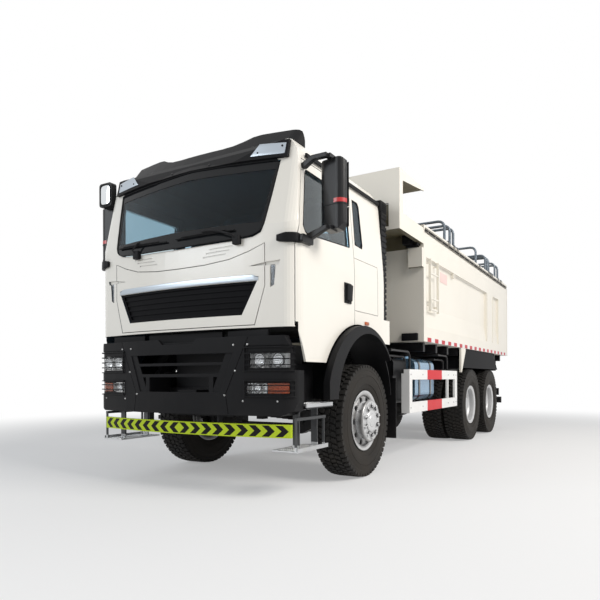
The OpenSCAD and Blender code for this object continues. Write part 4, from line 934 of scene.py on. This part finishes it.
def cab_side(z):
    """Half width of the cab's side skin at a height: upright, then leaning in over the belt."""
    marks = [(1.118, 1.150), (1.980, 1.150), (2.120, 1.144), (2.780, 1.088), (2.880, 1.070)]
    for (low, a), (high, b) in zip(marks, marks[1:]):
        if z <= high:
            return a + (b - a) * (z - low) / (high - low)
    return marks[-1][1]


for side, sign in SIDES:
    for label, edge, body in (("door", door_edge, "door_" + side), ("quarter", quarter_edge, "cab")):
        line = fine_outline(rounded_outline(edge, 0.03), 0.05)
        fix_to(outline_ribbon(label + "_window_seal_" + side, shrunk(line, -0.007), shrunk(line, 0.010), 0.008,
                              lambda y, z: (sign * (cab_side(z) - 0.003), FRONT_AXLE + y, z)),
               body, seal_rubber)

# ------------------------------------------------------------------ wipers
# Two cranked steel arms on spindles below the windscreen, each pressing a rubber blade on the
# glass. Moulded caps cover the spindles; everything is powder-coated or moulded black.
def swept_bar(name, points, radius):
    """A round bar along a bent line, with closed ends."""
    line = bpy.data.curves.new(name, "CURVE")
    line.dimensions = "3D"
    path = line.splines.new("POLY")
    path.points.add(len(points) - 1)
    for knot, point in zip(path.points, points):
        knot.co = (*point, 1.0)
    line.bevel_depth = radius
    line.bevel_resolution = 1
    line.use_fill_caps = True
    bar = bpy.data.objects.new(name, line)
    bpy.context.scene.collection.objects.link(bar)
    only(bar)
    bpy.ops.object.convert(target="MESH")
    edit(bpy.context.object)
    settle(0.00005)
    return bpy.context.object


def soft_block(name, low, high, edge, segments=2):
    """A moulded block between two corners with rounded edges."""
    block = started(name, bpy.ops.mesh.primitive_cube_add, size=1.0,
                    location=[(a + b) / 2 for a, b in zip(low, high)])
    block.scale = [abs(b - a) for a, b in zip(low, high)]
    bpy.ops.object.transform_apply(location=True, rotation=True, scale=True)
    edit(block)
    bpy.ops.mesh.bevel(offset=edge, segments=segments, affect="EDGES", profile=0.6)
    bpy.ops.object.mode_set(mode="OBJECT")
    return block


def block_at(name, sign, x, y, z, edge, segments=2):
    """A soft block from spans; x is mirrored by sign and y is measured from the front axle."""
    return soft_block(name, (sign * x[0], FRONT_AXLE + y[0], z[0]), (sign * x[1], FRONT_AXLE + y[1], z[1]), edge,
                      segments)


for label, spindle, blade_ends in (
        ("left", (0.626, 2.128), ((-0.02, 2.205), (0.60, 2.215))),
        ("right", (-0.523, 2.128), ((-0.80, 2.225), (-0.13, 2.200)))):
    x0, z0 = spindle
    base = FRONT_AXLE + bowed_line(x0, CAB_PLAN, 0.0)
    cap = soft_block("wiper_" + label, (x0 - 0.034, base - 0.046, z0 - 0.040),
                     (x0 + 0.034, base + 0.002, z0 + 0.038), 0.012)
    a, b = (Vector(end) for end in blade_ends)
    middle = (a + b) / 2
    crank = [(x0, base - 0.036, z0 + 0.010), (x0 - 0.02, base - 0.058, z0 + 0.040)]
    for part in (0.25, 0.5, 0.75, 1.0):
        x = x0 - 0.02 + (middle.x - x0 + 0.02) * part
        z = z0 + 0.040 + (middle.y - z0 - 0.020) * min(1.0, part * 1.6)
        crank.append((x, screen_face(x, z, -0.034), z))
    spots = [a.lerp(b, step / 8) for step in range(9)]
    blade = [(spot.x, screen_face(spot.x, spot.y, -0.010), spot.y) for spot in spots]
    fix_to(joined("wiper_" + label, [
        cap, swept_bar("wiper_arm", crank, 0.009), swept_bar("wiper_blade", blade, 0.008),
        swept_bar("wiper_rail", [(x, y - 0.012, z + 0.006) for x, y, z in blade[1:-1]], 0.006)]),
        "cab", seal_rubber, 35, stands_for="wipers")

# ------------------------------------------------------------------ mirrors
# Tall heated mirrors in moulded black housings on bowed arms. Each holds a main glass and a
# wide-angle glass below it, and a red reflex band wraps the housing; one has a kerb mirror.
look = mirror_silver = Finish("mirror_silver", Metallic=1.0)
film = look.effect(grain_effect, Scale=5.0, Fine_Share=0.5)
look.wear(Base_Color=look.mix(film["Tone"], (0.70, 0.72, 0.74), (0.76, 0.79, 0.81)),
          Roughness=look.span(film["Height"], 0.01, 0.05))
red_film = coated("red_film", (0.55, 0.020, 0.022), (0.44, 0.012, 0.014), 0.35, grain=240.0, fine=0.5,
                  deep_bump=0.0003, dust=(0.9, 0.15, 0.05), worn=0.1, worn_tone=(0.6, 0.3, 0.28), coat=0.3,
                  radius=0.002)
for side, sign in SIDES:
    centre, turn = (sign * 1.325, FRONT_AXLE - 1.010, 0.0), (0.0, 0.0, -math.radians(12.0) * sign)
    for label, low_z, high_z in (("main", 2.400, 2.755), ("wide", 2.235, 2.385)):
        fix_to(soft_block("mirror_%s_%s" % (label, side), (-0.102, 0.0585, low_z), (0.102, 0.0625, high_z), 0.0018),
               "door_" + side, mirror_silver, 30, centre, turn)
        fix_to(soft_block("mirror_%s_rim_%s" % (label, side), (-0.107, 0.0560, low_z - 0.005),
                          (0.107, 0.0600, high_z + 0.005), 0.0018),
               "door_" + side, seal_rubber, 30, centre, turn)
    # The housing's section: a band round it at one height, and the parting groove's lip
    round_end = [(0.060 + 0.0612 * math.cos(a), 0.0612 * math.sin(a))
                 for a in (math.radians(-90 + 15 * step) for step in range(13))]
    section = round_end + [(-x, -y) for x, y in round_end]
    fix_to(outline_ribbon("mirror_lip_" + side, section, [(x * 1.015, y * 1.04) for x, y in section], 0.006,
                          lambda x, y: (x, y, 2.402)), "door_" + side, housing_black, 30,
           centre, turn)
    wrapped = round_end[:8] if sign > 0 else [(-x, y) for x, y in round_end[:8]]
    band = started("mirror_band_" + side, bpy.ops.mesh.primitive_grid_add, x_subdivisions=len(wrapped),
                   y_subdivisions=1, size=1.0)
    for corner in band.data.vertices:
        column = (corner.co.x + 0.5) * len(wrapped)
        x, y = (wrapped[0][0] * 0.7, wrapped[0][1]) if column < 0.5 else wrapped[round(column) - 1]
        corner.co = (x, y, 2.412 if corner.co.y < 0.0 else 2.446)
    worked(band, "SOLIDIFY", thickness=0.0012, offset=0.0)
    edit(band)
    settle()
    fix_to(band, "door_" + side, red_film, 60, centre, turn)

kerb_edge = rounded_outline([(-1.287, 2.748), (-1.123, 2.748), (-1.123, 2.972), (-1.287, 2.972)], 0.06)
fix_to(outline_ribbon("kerb_mirror_rim", kerb_edge, shrunk(kerb_edge, 0.016), 0.006,
                      lambda x, z: (x, FRONT_AXLE - 1.2165, z)), "door_right", seal_rubber)
kerb_glass = soft_block("kerb_mirror_glass", (-1.273, FRONT_AXLE - 1.2175, 2.762),
                        (-1.137, FRONT_AXLE - 1.2140, 2.958), 0.0016)
kerb_glass = worked(kerb_glass, "BEVEL", width=0.04, segments=6, limit_method="ANGLE",
                    angle_limit=math.radians(80.0))
fix_to(kerb_glass, "door_right", mirror_silver)

# ------------------------------------------------------------------ mirror foot covers
# A moulded black cover closes each corner of the cab where the mirror's lower arm meets the
# belt line. It clips on next to the arm's own cover on the door.
for side, sign in SIDES:
    cover = front_panel("corner_cover_" + side, cab_face, (sign * 0.985, sign * 1.146), (2.072, 2.150), -0.030,
                        0.034, cuts=(14, 3), edge=0.009)
    for corner in cover.data.vertices:
        narrow = max(0.0, (1.060 - abs(corner.co.x)) / 0.075)
        corner.co.z += (2.105 - corner.co.z) * 0.35 * min(1.0, narrow)
    fix_to(cover, "cab", moulded_black, 40)

# ------------------------------------------------------------------ sun visor studs
# Small black studs hold the leaning visor plate to its brackets on the roof.
# Each is a turned button with a domed head.
VISOR_BACK, VISOR_RISE = 0.6018, 0.7986    # the visor plate's run to the rear and upwards
studs = []
for x, up in ((0.22, 0.10), (0.56, 0.115), (0.60, 0.27), (0.88, 0.26)):
    for side, sign in SIDES:
        stud = turned_profile("stud", [(-0.001, 0.0006), (-0.001, 0.013), (0.003, 0.012), (0.006, 0.006),
                                       (0.006, 0.0006)], 16)
        bow = x * x / BOW
        stud.location = (sign * x, FRONT_AXLE - 1.342 + VISOR_RISE * bow + VISOR_BACK * up,
                         2.790 - VISOR_BACK * bow + VISOR_RISE * up)
        stud.rotation_euler = Vector((0.0, -VISOR_RISE, VISOR_BACK)).to_track_quat("X", "Z").to_euler()
        studs.append(stud)
fix_to(joined("visor_studs", studs), "cab", housing_black, 40)

# ------------------------------------------------------------------ door handles
# A recessed black handle on each door: a moulded surround with a pull flap and a key plug.
# It covers the pressed grip of the door.
for side, sign in SIDES:
    surround = block_at("handle", sign, (1.146, 1.162), (-0.490, -0.352), (1.682, 1.872), 0.007)
    grip = block_at("handle_grip", sign, (1.150, 1.185), (-0.476, -0.364), (1.706, 1.855), 0.006)
    for corner in grip.data.vertices:
        if abs(corner.co.x) > 1.178 and corner.co.z < 1.79:
            corner.co.x -= sign * 0.008
    plug = turned_profile("plug", [(0.0, 0.002), (0.0, 0.013), (0.006, 0.013), (0.008, 0.010), (0.008, 0.002)], 20)
    plug.rotation_euler = outwards(sign)
    plug.location = (sign * 1.159, FRONT_AXLE - 0.420, 1.694)
    fix_to(joined("door_handle_" + side, [surround, grip, plug]), "door_" + side, moulded_black,
           35)

# ------------------------------------------------------------------ front trim
# A satin silver strip over the grille, silver cheeks on the sun visor, upright corner lamps with dark smoked lenses
# (partly painted shade of the corner crease) and small orange markers. The strip is extruded aluminium, clipped in
# over the grille.
trim_silver = coated("trim_silver", (0.47, 0.52, 0.57), (0.38, 0.43, 0.48), 0.30, grain=180.0, fine=0.6,
                     bump=0.06, deep_bump=0.0004, dust=(1.2, 0.05, 0.0), worn=0.1, worn_tone=(0.7, 0.7, 0.7),
                     metal=0.75, coat=0.2, radius=0.002)
strip = front_panel("grille_strip", cab_face, (-0.812, 0.812), (1.784, 1.834), -0.005, 0.012, cuts=(30, 2),
                    edge=0.003)
for corner in strip.data.vertices:
    reach = abs(corner.co.x)
    if reach > 0.78 and corner.co.z > 1.82:
        corner.co.z -= (reach - 0.78) * 0.7
fix_to(strip, "front_flap", trim_silver)

for side, sign in SIDES:
    cheek = front_panel("visor_cheek_" + side, cab_face, (sign * 0.665, sign * 0.990), (2.850, 2.946), -0.0325,
                        0.004, cuts=(14, 3), edge=0.0015)
    for corner in cheek.data.vertices:
        across = (abs(corner.co.x) - 0.665) / 0.325
        lift = (corner.co.z - 2.850) / 0.096
        corner.co.x += sign * 0.085 * lift * (1.0 - across)
        corner.co.z -= 0.016 * across
    fix_to(cheek, "cab", trim_silver)
    for x, z in ((0.735, 2.872), (0.955, 2.905)):
        stud = turned_profile("visor_stud_%s_%d" % (side, round(x * 100)),
                              [(0.0, 0.0006), (0.0, 0.009), (0.003, 0.008), (0.005, 0.004), (0.005, 0.0006)], 16)
        fix_to(stud, "cab", seal_rubber, 40, (sign * x, cab_face(x, z, -0.0325), z), TO_FRONT)
    # The corner lamps' smoked lens is tinted dark: partly painted shade of the crease at the cab's corner.
    fix_to(front_panel("corner_lamp_" + side, cab_face, (sign * 0.918, sign * 0.950), (1.735, 1.905), 0.006, 0.012,
                       cuts=(2, 8), edge=0.002), "cab", lens_smoke_and_shade)
    fix_to(front_panel("corner_reflector_" + side, cab_face, (sign * 0.920, sign * 0.948), (1.740, 1.900), 0.0145,
                       0.002, cuts=(2, 8), edge=0.0005), "cab", reflector_fluted)
    fix_to(block_at("side_marker_" + side, sign, (1.148, 1.163), (-0.040, 0.045), (1.512, 1.545), 0.005),
           "cab", lens_amber)

# ------------------------------------------------------------------ air intake head
# A moulded plastic rain head on top of the ribbed intake duct behind the cab. Louvres on
# its outer face let the air in, and a clamp band holds it to the duct.
fix_to(block_at("intake_head", 1.0, (0.928, 1.122), (0.452, 0.606), (2.765, 2.905), 0.024, 3), "cab",
       moulded_black)
louvres = [block_at("intake_louvre", 1.0, (1.112, 1.129), (0.470, 0.588), (z, z + 0.010), 0.003)
           for z in (2.790, 2.812, 2.834, 2.856)]
fix_to(joined("intake_louvres", louvres), "cab", moulded_black)
fix_to(block_at("intake_clamp", 1.0, (0.924, 1.126), (0.452, 0.607), (2.748, 2.764), 0.004), "cab",
       chassis_paint)

# ------------------------------------------------------------------ fuel tank
# A rolled aluminium tank with rounded corners on the left rail, its skin polished and still
# in blue protective film. Two rubber-lined steel straps hold it; the cap screws on its neck.
look = tank_skin = Finish("tank_skin", Coat_Weight=0.35, Coat_Roughness=0.08)
strap = look.bands("Y", (FRONT_AXLE + 1.6985, FRONT_AXLE + 1.7515), (FRONT_AXLE + 2.1385, FRONT_AXLE + 2.1915))
cloud = look.effect(grain_effect, Scale=3.6, Fine_Share=0.5)["Tone"]
brushed = look.noise(9.0, 3.0, at=look.vector("MULTIPLY", look.place(), (22.0, 0.6, 22.0)))
colour = look.mix(cloud, (0.055, 0.18, 0.35), (0.22, 0.40, 0.57))
colour = look.mix(look.span(brushed, 0.0, 0.55), colour, (0.38, 0.53, 0.66))
dusty = look.effect(dust_effect, Top=1.1, Amount=0.20, Everywhere=0.1)["Mask"]
colour = look.mix(dusty, colour, (0.20, 0.19, 0.17))
look.wear(Base_Color=look.mix(strap, colour, (0.022, 0.022, 0.024)), Metallic=look.span(strap, 0.75, 0.0),
          Roughness=look.span(brushed, 0.14, 0.32), Normal=look.relief(brushed, 0.12, 0.0008))
finish_nodes(tank_skin, "fuel_tank")
fix_to(turned_profile("tank_cap", [(0.0, 0.002), (0.0, 0.056), (0.010, 0.058), (0.014, 0.050), (0.030, 0.050),
                                   (0.036, 0.044), (0.038, 0.020), (0.038, 0.002)], 28),
       "chassis", moulded_black, 30, (0.960, FRONT_AXLE + 1.610, 1.2575), (0.0, -math.pi / 2, 0.0))
fix_to(block_at("tank_top_pad", 1.0, (0.70, 0.98), (1.78, 2.10), (1.2305, 1.2355), 0.002), "chassis",
       moulded_black)

# ------------------------------------------------------------------ side guards
# Folded steel side guards, painted white with a red block on both rails; black painted
# tubes bend over the battery box and the tank. Bolted to carriers on the frame.
look = guard_paint = Finish("guard_paint", Specular_IOR_Level=0.12)
outward = look.math("ABSOLUTE", look.along("X"))
on_face = look.above(outward, 1.183)
is_tube = look.times(look.below(outward, 1.145), look.above(look.along("Z"), 1.0395))
tone = look.effect(grain_effect, Scale=2.0, Fine_Share=0.4)["Tone"]
fine = look.effect(grain_effect, Scale=210.0, Fine_Share=0.4)["Height"]
edges = look.effect(edge_effect, Radius=0.004, Amount=0.35)
dusty = look.effect(dust_effect, Top=1.15, Amount=0.20, Everywhere=0.04)["Mask"]
red_block = look.times(look.bands("Y", (FRONT_AXLE + 1.705, FRONT_AXLE + 2.318)), on_face)
colour = look.mix(red_block, look.mix(tone, (0.78, 0.78, 0.77), (0.86, 0.86, 0.85)),
                  look.mix(tone, (0.56, 0.004, 0.012), (0.66, 0.008, 0.020)))
colour = look.mix(edges["Mask"], look.mix(is_tube, colour, (0.030, 0.030, 0.032)), (0.50, 0.48, 0.45))
look.wear(Base_Color=look.mix(dusty, colour, DUST_PALE), Roughness=look.span(fine, 0.26, 0.42),
          Normal=look.relief(fine, 0.12, 0.0006, edges["Normal"]))
finish_nodes(guard_paint, "side_guards")
fix_to(joined("guard_bolts", [
    bolt_head((sign * 1.2150, FRONT_AXLE + y, z), (sign, 0.0, 0.0), 0.0085)
    for side, sign in SIDES for y in (1.100, 1.525, 2.610, 2.880, 3.010) for z in (0.636, 1.026)]),
    "chassis", bolt_steel, 25)

# ------------------------------------------------------------------ reflective tape
# Red and white retroreflective tape along the lower edge of the body's sides and across its
# tailgate. It is glued on the paint.
TAPE_REPEAT = 0.30
tape = Finish("reflective_tape", Specular_IOR_Level=0.12)


def every(look, place, start):
    """1 over the first half of every repeat of the tape's pattern."""
    along = look.math("DIVIDE", look.math("SUBTRACT", place, start), TAPE_REPEAT)
    return look.below(look.math("FRACT", along), 0.5)


on_rear = tape.above(tape.facing("Y"), 0.5)
red = tape.add("Mix", {0: on_rear, 2: every(tape, tape.along("Y"), FRONT_AXLE - 1.30),
                       3: every(tape, tape.along("X"), -3.0)}).outputs[0]
cell = tape.cells(240.0).outputs["Distance"]
colour = tape.mix(red, tape.mix(cell, (0.82, 0.83, 0.82), (0.70, 0.71, 0.71)),
                  tape.mix(cell, (0.56, 0.003, 0.014), (0.42, 0.002, 0.010)))
dusty = tape.effect(dust_effect, Top=2.0, Amount=0.18, Everywhere=0.1)["Mask"]
tape.wear(Base_Color=tape.mix(dusty, colour, DUST_PALE), Roughness=tape.span(dusty, 0.28, 0.7),
          Normal=tape.relief(cell, 0.10, 0.0003))
for side, sign in SIDES:
    fix_to(block_at("side_tape_" + side, sign, (1.2198, 1.2212), (1.700, 6.790), (1.442, 1.496), 0.0004, 1),
           "tipping_body", tape)
    for label, x in (("inner", 0.615), ("outer", 1.100)):
        fix_to(block_at("gate_tape_%s_%s" % (label, side), sign, (x - 0.10, x + 0.10), (6.8745, 6.8762),
                        (1.560, 1.614), 0.0004, 1), "tailgate", tape)
fix_to(block_at("gate_tape_middle", 1.0, (-0.285, 0.285), (6.8745, 6.8762), (1.560, 1.614), 0.0004, 1),
       "tailgate", tape)

# ------------------------------------------------------------------ cover bows
# Bent steel tubes that carry the load's rolling cover, on carriages along two rails.
# Hot-dip galvanised: dull blue-grey zinc with its spangle; rails and carriages painted dark.
look = galvanised = Finish("galvanised")
spangle = look.cells(55.0)
tint = look.add("SeparateColor", {0: spangle.outputs["Color"]}).outputs
cloud = look.effect(grain_effect, Scale=4.0, Fine_Share=0.5)["Height"]
colour = look.mix(cloud, look.mix(tint["Red"], (0.11, 0.135, 0.16), (0.22, 0.25, 0.285)), (0.09, 0.105, 0.12))
low_part = look.below(look.along("Z"), 2.8795)
look.wear(Base_Color=look.mix(low_part, colour, (0.20, 0.185, 0.155)), Metallic=look.span(low_part, 0.85, 0.20),
          Roughness=look.span(tint["Green"], 0.34, 0.55), Normal=look.relief(spangle.outputs["Distance"], 0.10,
                                                                             0.0005))
finish_nodes(galvanised, "cover_bows")

# ------------------------------------------------------------------ cover guide rails
# A steel guide rail runs along the outside of each top edge, on brackets over a gap with a thin black strip in it
# as painted shadow.
# The carriages of the cover's bows are hooked over it.
for side, sign in SIDES:
    parts = [block_at("rail", sign, (1.2262, 1.2350), (1.600, 6.740), (2.838, 2.858), 0.0025),
             block_at("flange", sign, (1.2254, 1.2330), (1.600, 6.740), (2.806, 2.813), 0.002)]
    for step in range(18):
        parts.append(block_at("bracket", sign, (1.2254, 1.2300), (1.700 + 0.290 * step, 1.730 + 0.290 * step),
                              (2.809, 2.842), 0.001))
    fix_to(joined("guide_rail_" + side, parts), "tipping_body", galvanised)
    # A thin black strip in the gap under the rail is painted shadow.
    fix_to(block_at("guide_shadow_" + side, sign, (1.2252, 1.2260), (1.590, 6.745), (2.812, 2.840), 0.0003, 1),
           "tipping_body", seal_rubber)

# ------------------------------------------------------------------ cover drive
# A small gear motor in a black housing at the body's front corners turns a shaft along the
# front beam; it winds the cover's pull ropes on two drums. Bolted to the body's front wall.
for side, sign in SIDES:
    drum = turned_profile("drum", [(0.0, 0.002), (0.0, 0.052), (0.006, 0.052), (0.008, 0.034), (0.052, 0.034),
                                   (0.054, 0.052), (0.060, 0.052), (0.060, 0.002)], 24)
    drum.location = (sign * 1.130 - 0.030, FRONT_AXLE + 1.495, 2.700)
    parts = [block_at("case", sign, (0.985, 1.085), (1.425, 1.545), (2.640, 2.760), 0.012),
             block_at("foot", sign, (1.000, 1.160), (1.515, 1.557), (2.615, 2.650), 0.005),
             block_at("ear", sign, (1.165, 1.180), (1.440, 1.557), (2.625, 2.755), 0.003), drum,
             swept_bar("shaft", [(sign * 0.990, FRONT_AXLE + 1.495, 2.700),
                                 (sign * 1.188, FRONT_AXLE + 1.495, 2.700)], 0.014)]
    fix_to(joined("cover_drive_" + side, parts), "tipping_body", chassis_paint, 35)
    fix_to(block_at("corner_buffer_" + side, sign, (0.940, 1.150), (1.512, 1.558), (1.452, 1.545), 0.010),
           "tipping_body", moulded_black, 35)

# ------------------------------------------------------------------ board gussets
# Folded steel gussets weld the cab guard's front board to its two side flanges. Each has a
# stiffening lip along its free edge.
for side, sign in SIDES:
    web = block_at("board_gusset_" + side, sign, (0.860, 1.1895), (0.7715, 0.7775), (2.668, 2.948), 0.0015)
    lip = block_at("lip", sign, (0.860, 0.868), (0.7715, 0.7975), (2.668, 2.948), 0.0015)
    fix_to(joined("board_gusset_" + side, [web, lip]), "tipping_body", front_paint)

# ------------------------------------------------------------------ tail lamps and rear plate
# Moulded rear lamps in black housings: red, amber and clear chambers behind ribbed lenses.
# A blank plate panel sits between them; a small blank sign is riveted on the body's left side.
for side, sign in SIDES:
    housing = block_at("housing", sign, (0.754, 1.106), (6.558, 6.602), (0.634, 0.776), 0.010)
    arm = block_at("bracket", sign, (0.431, 0.762), (6.500, 6.560), (0.681, 0.729), 0.004)
    fix_to(joined("tail_housing_" + side, [housing, arm]), "chassis", moulded_black, 35,
           stands_for="tail_lamps")
    for label, x0, x1, look in (("stop", 0.762, 0.868, lens_red), ("reverse", 0.872, 0.944, lens_clear),
                                ("turn", 0.948, 1.022, lens_amber), ("tail", 1.026, 1.098, lens_red)):
        fix_to(block_at("tail_%s_reflector_%s" % (label, side), sign, (x0, x1), (6.6015, 6.6035), (0.643, 0.767),
                        0.0005, 1), "chassis", reflector_fluted)
        lens = block_at("tail_%s_lens_%s" % (label, side), sign, (x0, x1), (6.605, 6.614), (0.642, 0.768), 0.0035)
        edit_faces(lens, lambda face: face.normal.y > 0.9)
        bpy.ops.mesh.inset(thickness=0.006, depth=-0.0012)
        bpy.ops.object.mode_set(mode="OBJECT")
        fix_to(lens, "chassis", look)
sign_enamel = coated("sign_enamel", (0.84, 0.64, 0.60), (0.80, 0.57, 0.54), 0.40, grain=160.0, bump=0.05,
                     deep_bump=0.0003, dust=(1.1, 0.1, 0.1), radius=0.002)
fix_to(block_at("side_sign", 1.0, (1.1752, 1.1780), (2.380, 2.700), (2.300, 2.440), 0.0010), "tipping_body",
       sign_enamel)
plate_enamel = coated("plate_enamel", (0.72, 0.72, 0.70), (0.66, 0.66, 0.64), 0.40, grain=160.0, bump=0.05,
                      deep_bump=0.0003, dust=(1.1, 0.30, 0.15), radius=0.002)
fix_to(block_at("rear_plate", 1.0, (-0.230, 0.230), (6.6195, 6.6235), (0.482, 0.600), 0.0018), "chassis",
       plate_enamel)

# ------------------------------------------------------------------ dashboard and steering wheel
# A moulded dashboard across the cab with an instrument hood, vents and a switch panel, and a
# four-spoke wheel on its tilted column, all in grained grey-black plastic.
trim_plastic = coated("trim_plastic", (0.070, 0.073, 0.078), (0.050, 0.052, 0.056), 0.62, grain=340.0, fine=0.5,
                      bump=0.30, dust=(0.5, 0.0, 0.0), worn=0.15, worn_tone=(0.14, 0.14, 0.15), radius=0.006,
                      gloss=0.3)


def long_moulding(name, outline, x0, x1, edge):
    """A moulding of one section: the (y, z) outline drawn as a face and extruded along X."""
    piece = started(name, bpy.ops.mesh.primitive_circle_add, vertices=len(outline), fill_type="NGON")
    for corner, point in zip(piece.data.vertices, outline):
        corner.co = (x0, FRONT_AXLE + point[0], point[1])
    edit(piece)
    bpy.ops.mesh.extrude_region_move(TRANSFORM_OT_translate={"value": (x1 - x0, 0.0, 0.0)})
    bpy.ops.mesh.select_all(action="SELECT")
    bpy.ops.mesh.normals_make_consistent(inside=False)
    bpy.ops.mesh.bevel(offset=edge, segments=3, affect="EDGES")
    bpy.ops.object.mode_set(mode="OBJECT")
    return piece


fix_to(joined("dashboard", [
    long_moulding("dash", [(-1.240, 1.560), (-0.935, 1.560), (-0.905, 1.900), (-0.965, 2.045), (-1.180, 2.078),
                           (-1.238, 2.078)], -0.975, 0.975, 0.022),
    long_moulding("hood", [(-1.150, 2.060), (-0.985, 2.020), (-0.975, 2.075), (-1.060, 2.128), (-1.140, 2.100)],
                  0.385, 0.855, 0.016),
    block_at("panel", 1.0, (0.02, 0.330), (-0.925, -0.890), (1.640, 1.890), 0.012),
    block_at("tray", 1.0, (-0.90, -0.10), (-1.225, -1.060), (2.074, 2.092), 0.006)] + [
    block_at("vent", 1.0, (x - 0.065, x + 0.065), (-0.960, -0.912), (1.935, 2.000), 0.006)
    for x in (-0.80, -0.25, 0.175, 0.93)]), "cab", trim_plastic, stands_for="cab_interior")

wheel_rim = started("steering_wheel", bpy.ops.mesh.primitive_torus_add, major_radius=0.215, minor_radius=0.015,
                    major_segments=64, minor_segments=14)
wheel_parts = [wheel_rim, soft_block("hub", (-0.070, -0.055, -0.045), (0.070, 0.060, -0.005), 0.016, 3)]
for angle in (28.0, 152.0, 208.0, 332.0):
    wheel_parts.append(soft_block("spoke", (0.050, -0.017, -0.026), (0.212, 0.017, -0.010), 0.006))
    wheel_parts[-1].rotation_euler = (0.0, 0.0, math.radians(angle))
wheel_parts.append(turned_profile("column", [(-0.260, 0.002), (-0.260, 0.034), (-0.090, 0.040), (-0.040, 0.034),
                                             (-0.040, 0.002)], 24))
wheel_parts[-1].rotation_euler = (0.0, -math.pi / 2, 0.0)
fix_to(joined("steering_wheel", wheel_parts), "cab", trim_plastic, 40,
       (0.620, FRONT_AXLE - 0.840, 2.090), (math.radians(35.0), 0.0, 0.0))

# ------------------------------------------------------------------ seats and bunk
# Two air-sprung seats and a bunk: foam pads in woven grey cloth over plastic pans, the pads
# swelling between their piped edges. The seats' pans stand on bellows fixed to the floor.
look = cloth_look = Finish("seat_cloth", Sheen_Weight=0.25, Specular_IOR_Level=0.2)
woven = look.times(look.waves(190.0), look.waves(190.0, "DIAGONAL"))
broad = look.effect(grain_effect, Scale=5.0, Fine_Share=0.5)["Tone"]
colour = look.mix(broad, (0.070, 0.074, 0.082), (0.105, 0.110, 0.120))
height = look.math("ADD", look.math("POWER", look.waves(3.3), 0.35), look.times(woven, 0.12))
look.wear(Base_Color=look.mix(woven, colour, (0.16, 0.165, 0.18)), Roughness=look.span(woven, 0.85, 0.97),
          Normal=look.relief(height, 0.6, 0.004))


def foam_pad(name, outline, x0, x1, swell):
    """A pad from its side outline: drawn small, swollen by cloth pressure, then smoothed."""
    pad = long_moulding(name, outline, x0, x1, 0.030)
    worked(pad, "REMESH", mode="VOXEL", voxel_size=0.011)
    start = [corner.co.copy() for corner in pad.data.vertices]
    cloth = pad.modifiers.new("swell", "CLOTH")
    cloth.settings.use_pressure = True
    cloth.settings.uniform_pressure_force = 4.0
    cloth.settings.effector_weights.gravity = 0.0
    cloth.settings.quality = 4
    for step in range(1, 13):
        bpy.context.scene.frame_set(step)
    only(pad)
    bpy.ops.object.modifier_apply(modifier="swell")
    bpy.context.scene.frame_set(1)
    for corner, first in zip(pad.data.vertices, start):
        move = corner.co - first
        if move.length > swell:
            corner.co = first + move * (swell / move.length)
    worked(pad, "SMOOTH", iterations=4)
    fix_to(pad, "cab", cloth_look, 60)


for side, sign in SIDES:
    for label, outline, x_span, swell in (
            ("seat", [(-0.605, 1.715), (-0.175, 1.700), (-0.175, 1.820), (-0.600, 1.845)], (0.385, 0.855), 0.014),
            ("back", [(-0.212, 1.872), (-0.110, 1.872), (0.000, 2.300), (-0.085, 2.312)], (0.385, 0.855), 0.014),
            ("head", [(-0.072, 2.345), (0.002, 2.340), (0.018, 2.480), (-0.052, 2.492)], (0.500, 0.740), 0.010)):
        foam_pad("%s_pad_%s" % (label, side), outline, *sorted(sign * x for x in x_span), swell)
    parts = [block_at("pan", sign, (0.380, 0.860), (-0.600, -0.165), (1.655, 1.700), 0.012),
             long_moulding("shell", [(-0.112, 1.800), (-0.080, 1.800), (0.022, 2.300), (-0.002, 2.306)],
                           *sorted((sign * 0.390, sign * 0.850)), 0.010)]
    for step in range(4):
        z, inset = 1.524 + 0.033 * step, 0.012 * (step % 2)
        parts.append(block_at("bellows", sign, (0.430 + inset, 0.810 - inset), (-0.540 + inset, -0.220 - inset),
                              (z, z + 0.032), 0.008))
    parts += [swept_bar("post", [(sign * x, FRONT_AXLE - 0.045, 2.290), (sign * x, FRONT_AXLE - 0.030, 2.360)],
                        0.007) for x in (0.560, 0.680)]
    fix_to(joined("seat_frame_" + side, parts), "cab", trim_plastic, 35)
foam_pad("bunk_pad", [(0.075, 1.790), (0.365, 1.790), (0.365, 1.885), (0.075, 1.885)], -0.985, 0.985, 0.012)
fix_to(block_at("bunk_base", 1.0, (-0.995, 0.995), (0.065, 0.375), (1.524, 1.780), 0.010), "cab",
       trim_plastic)
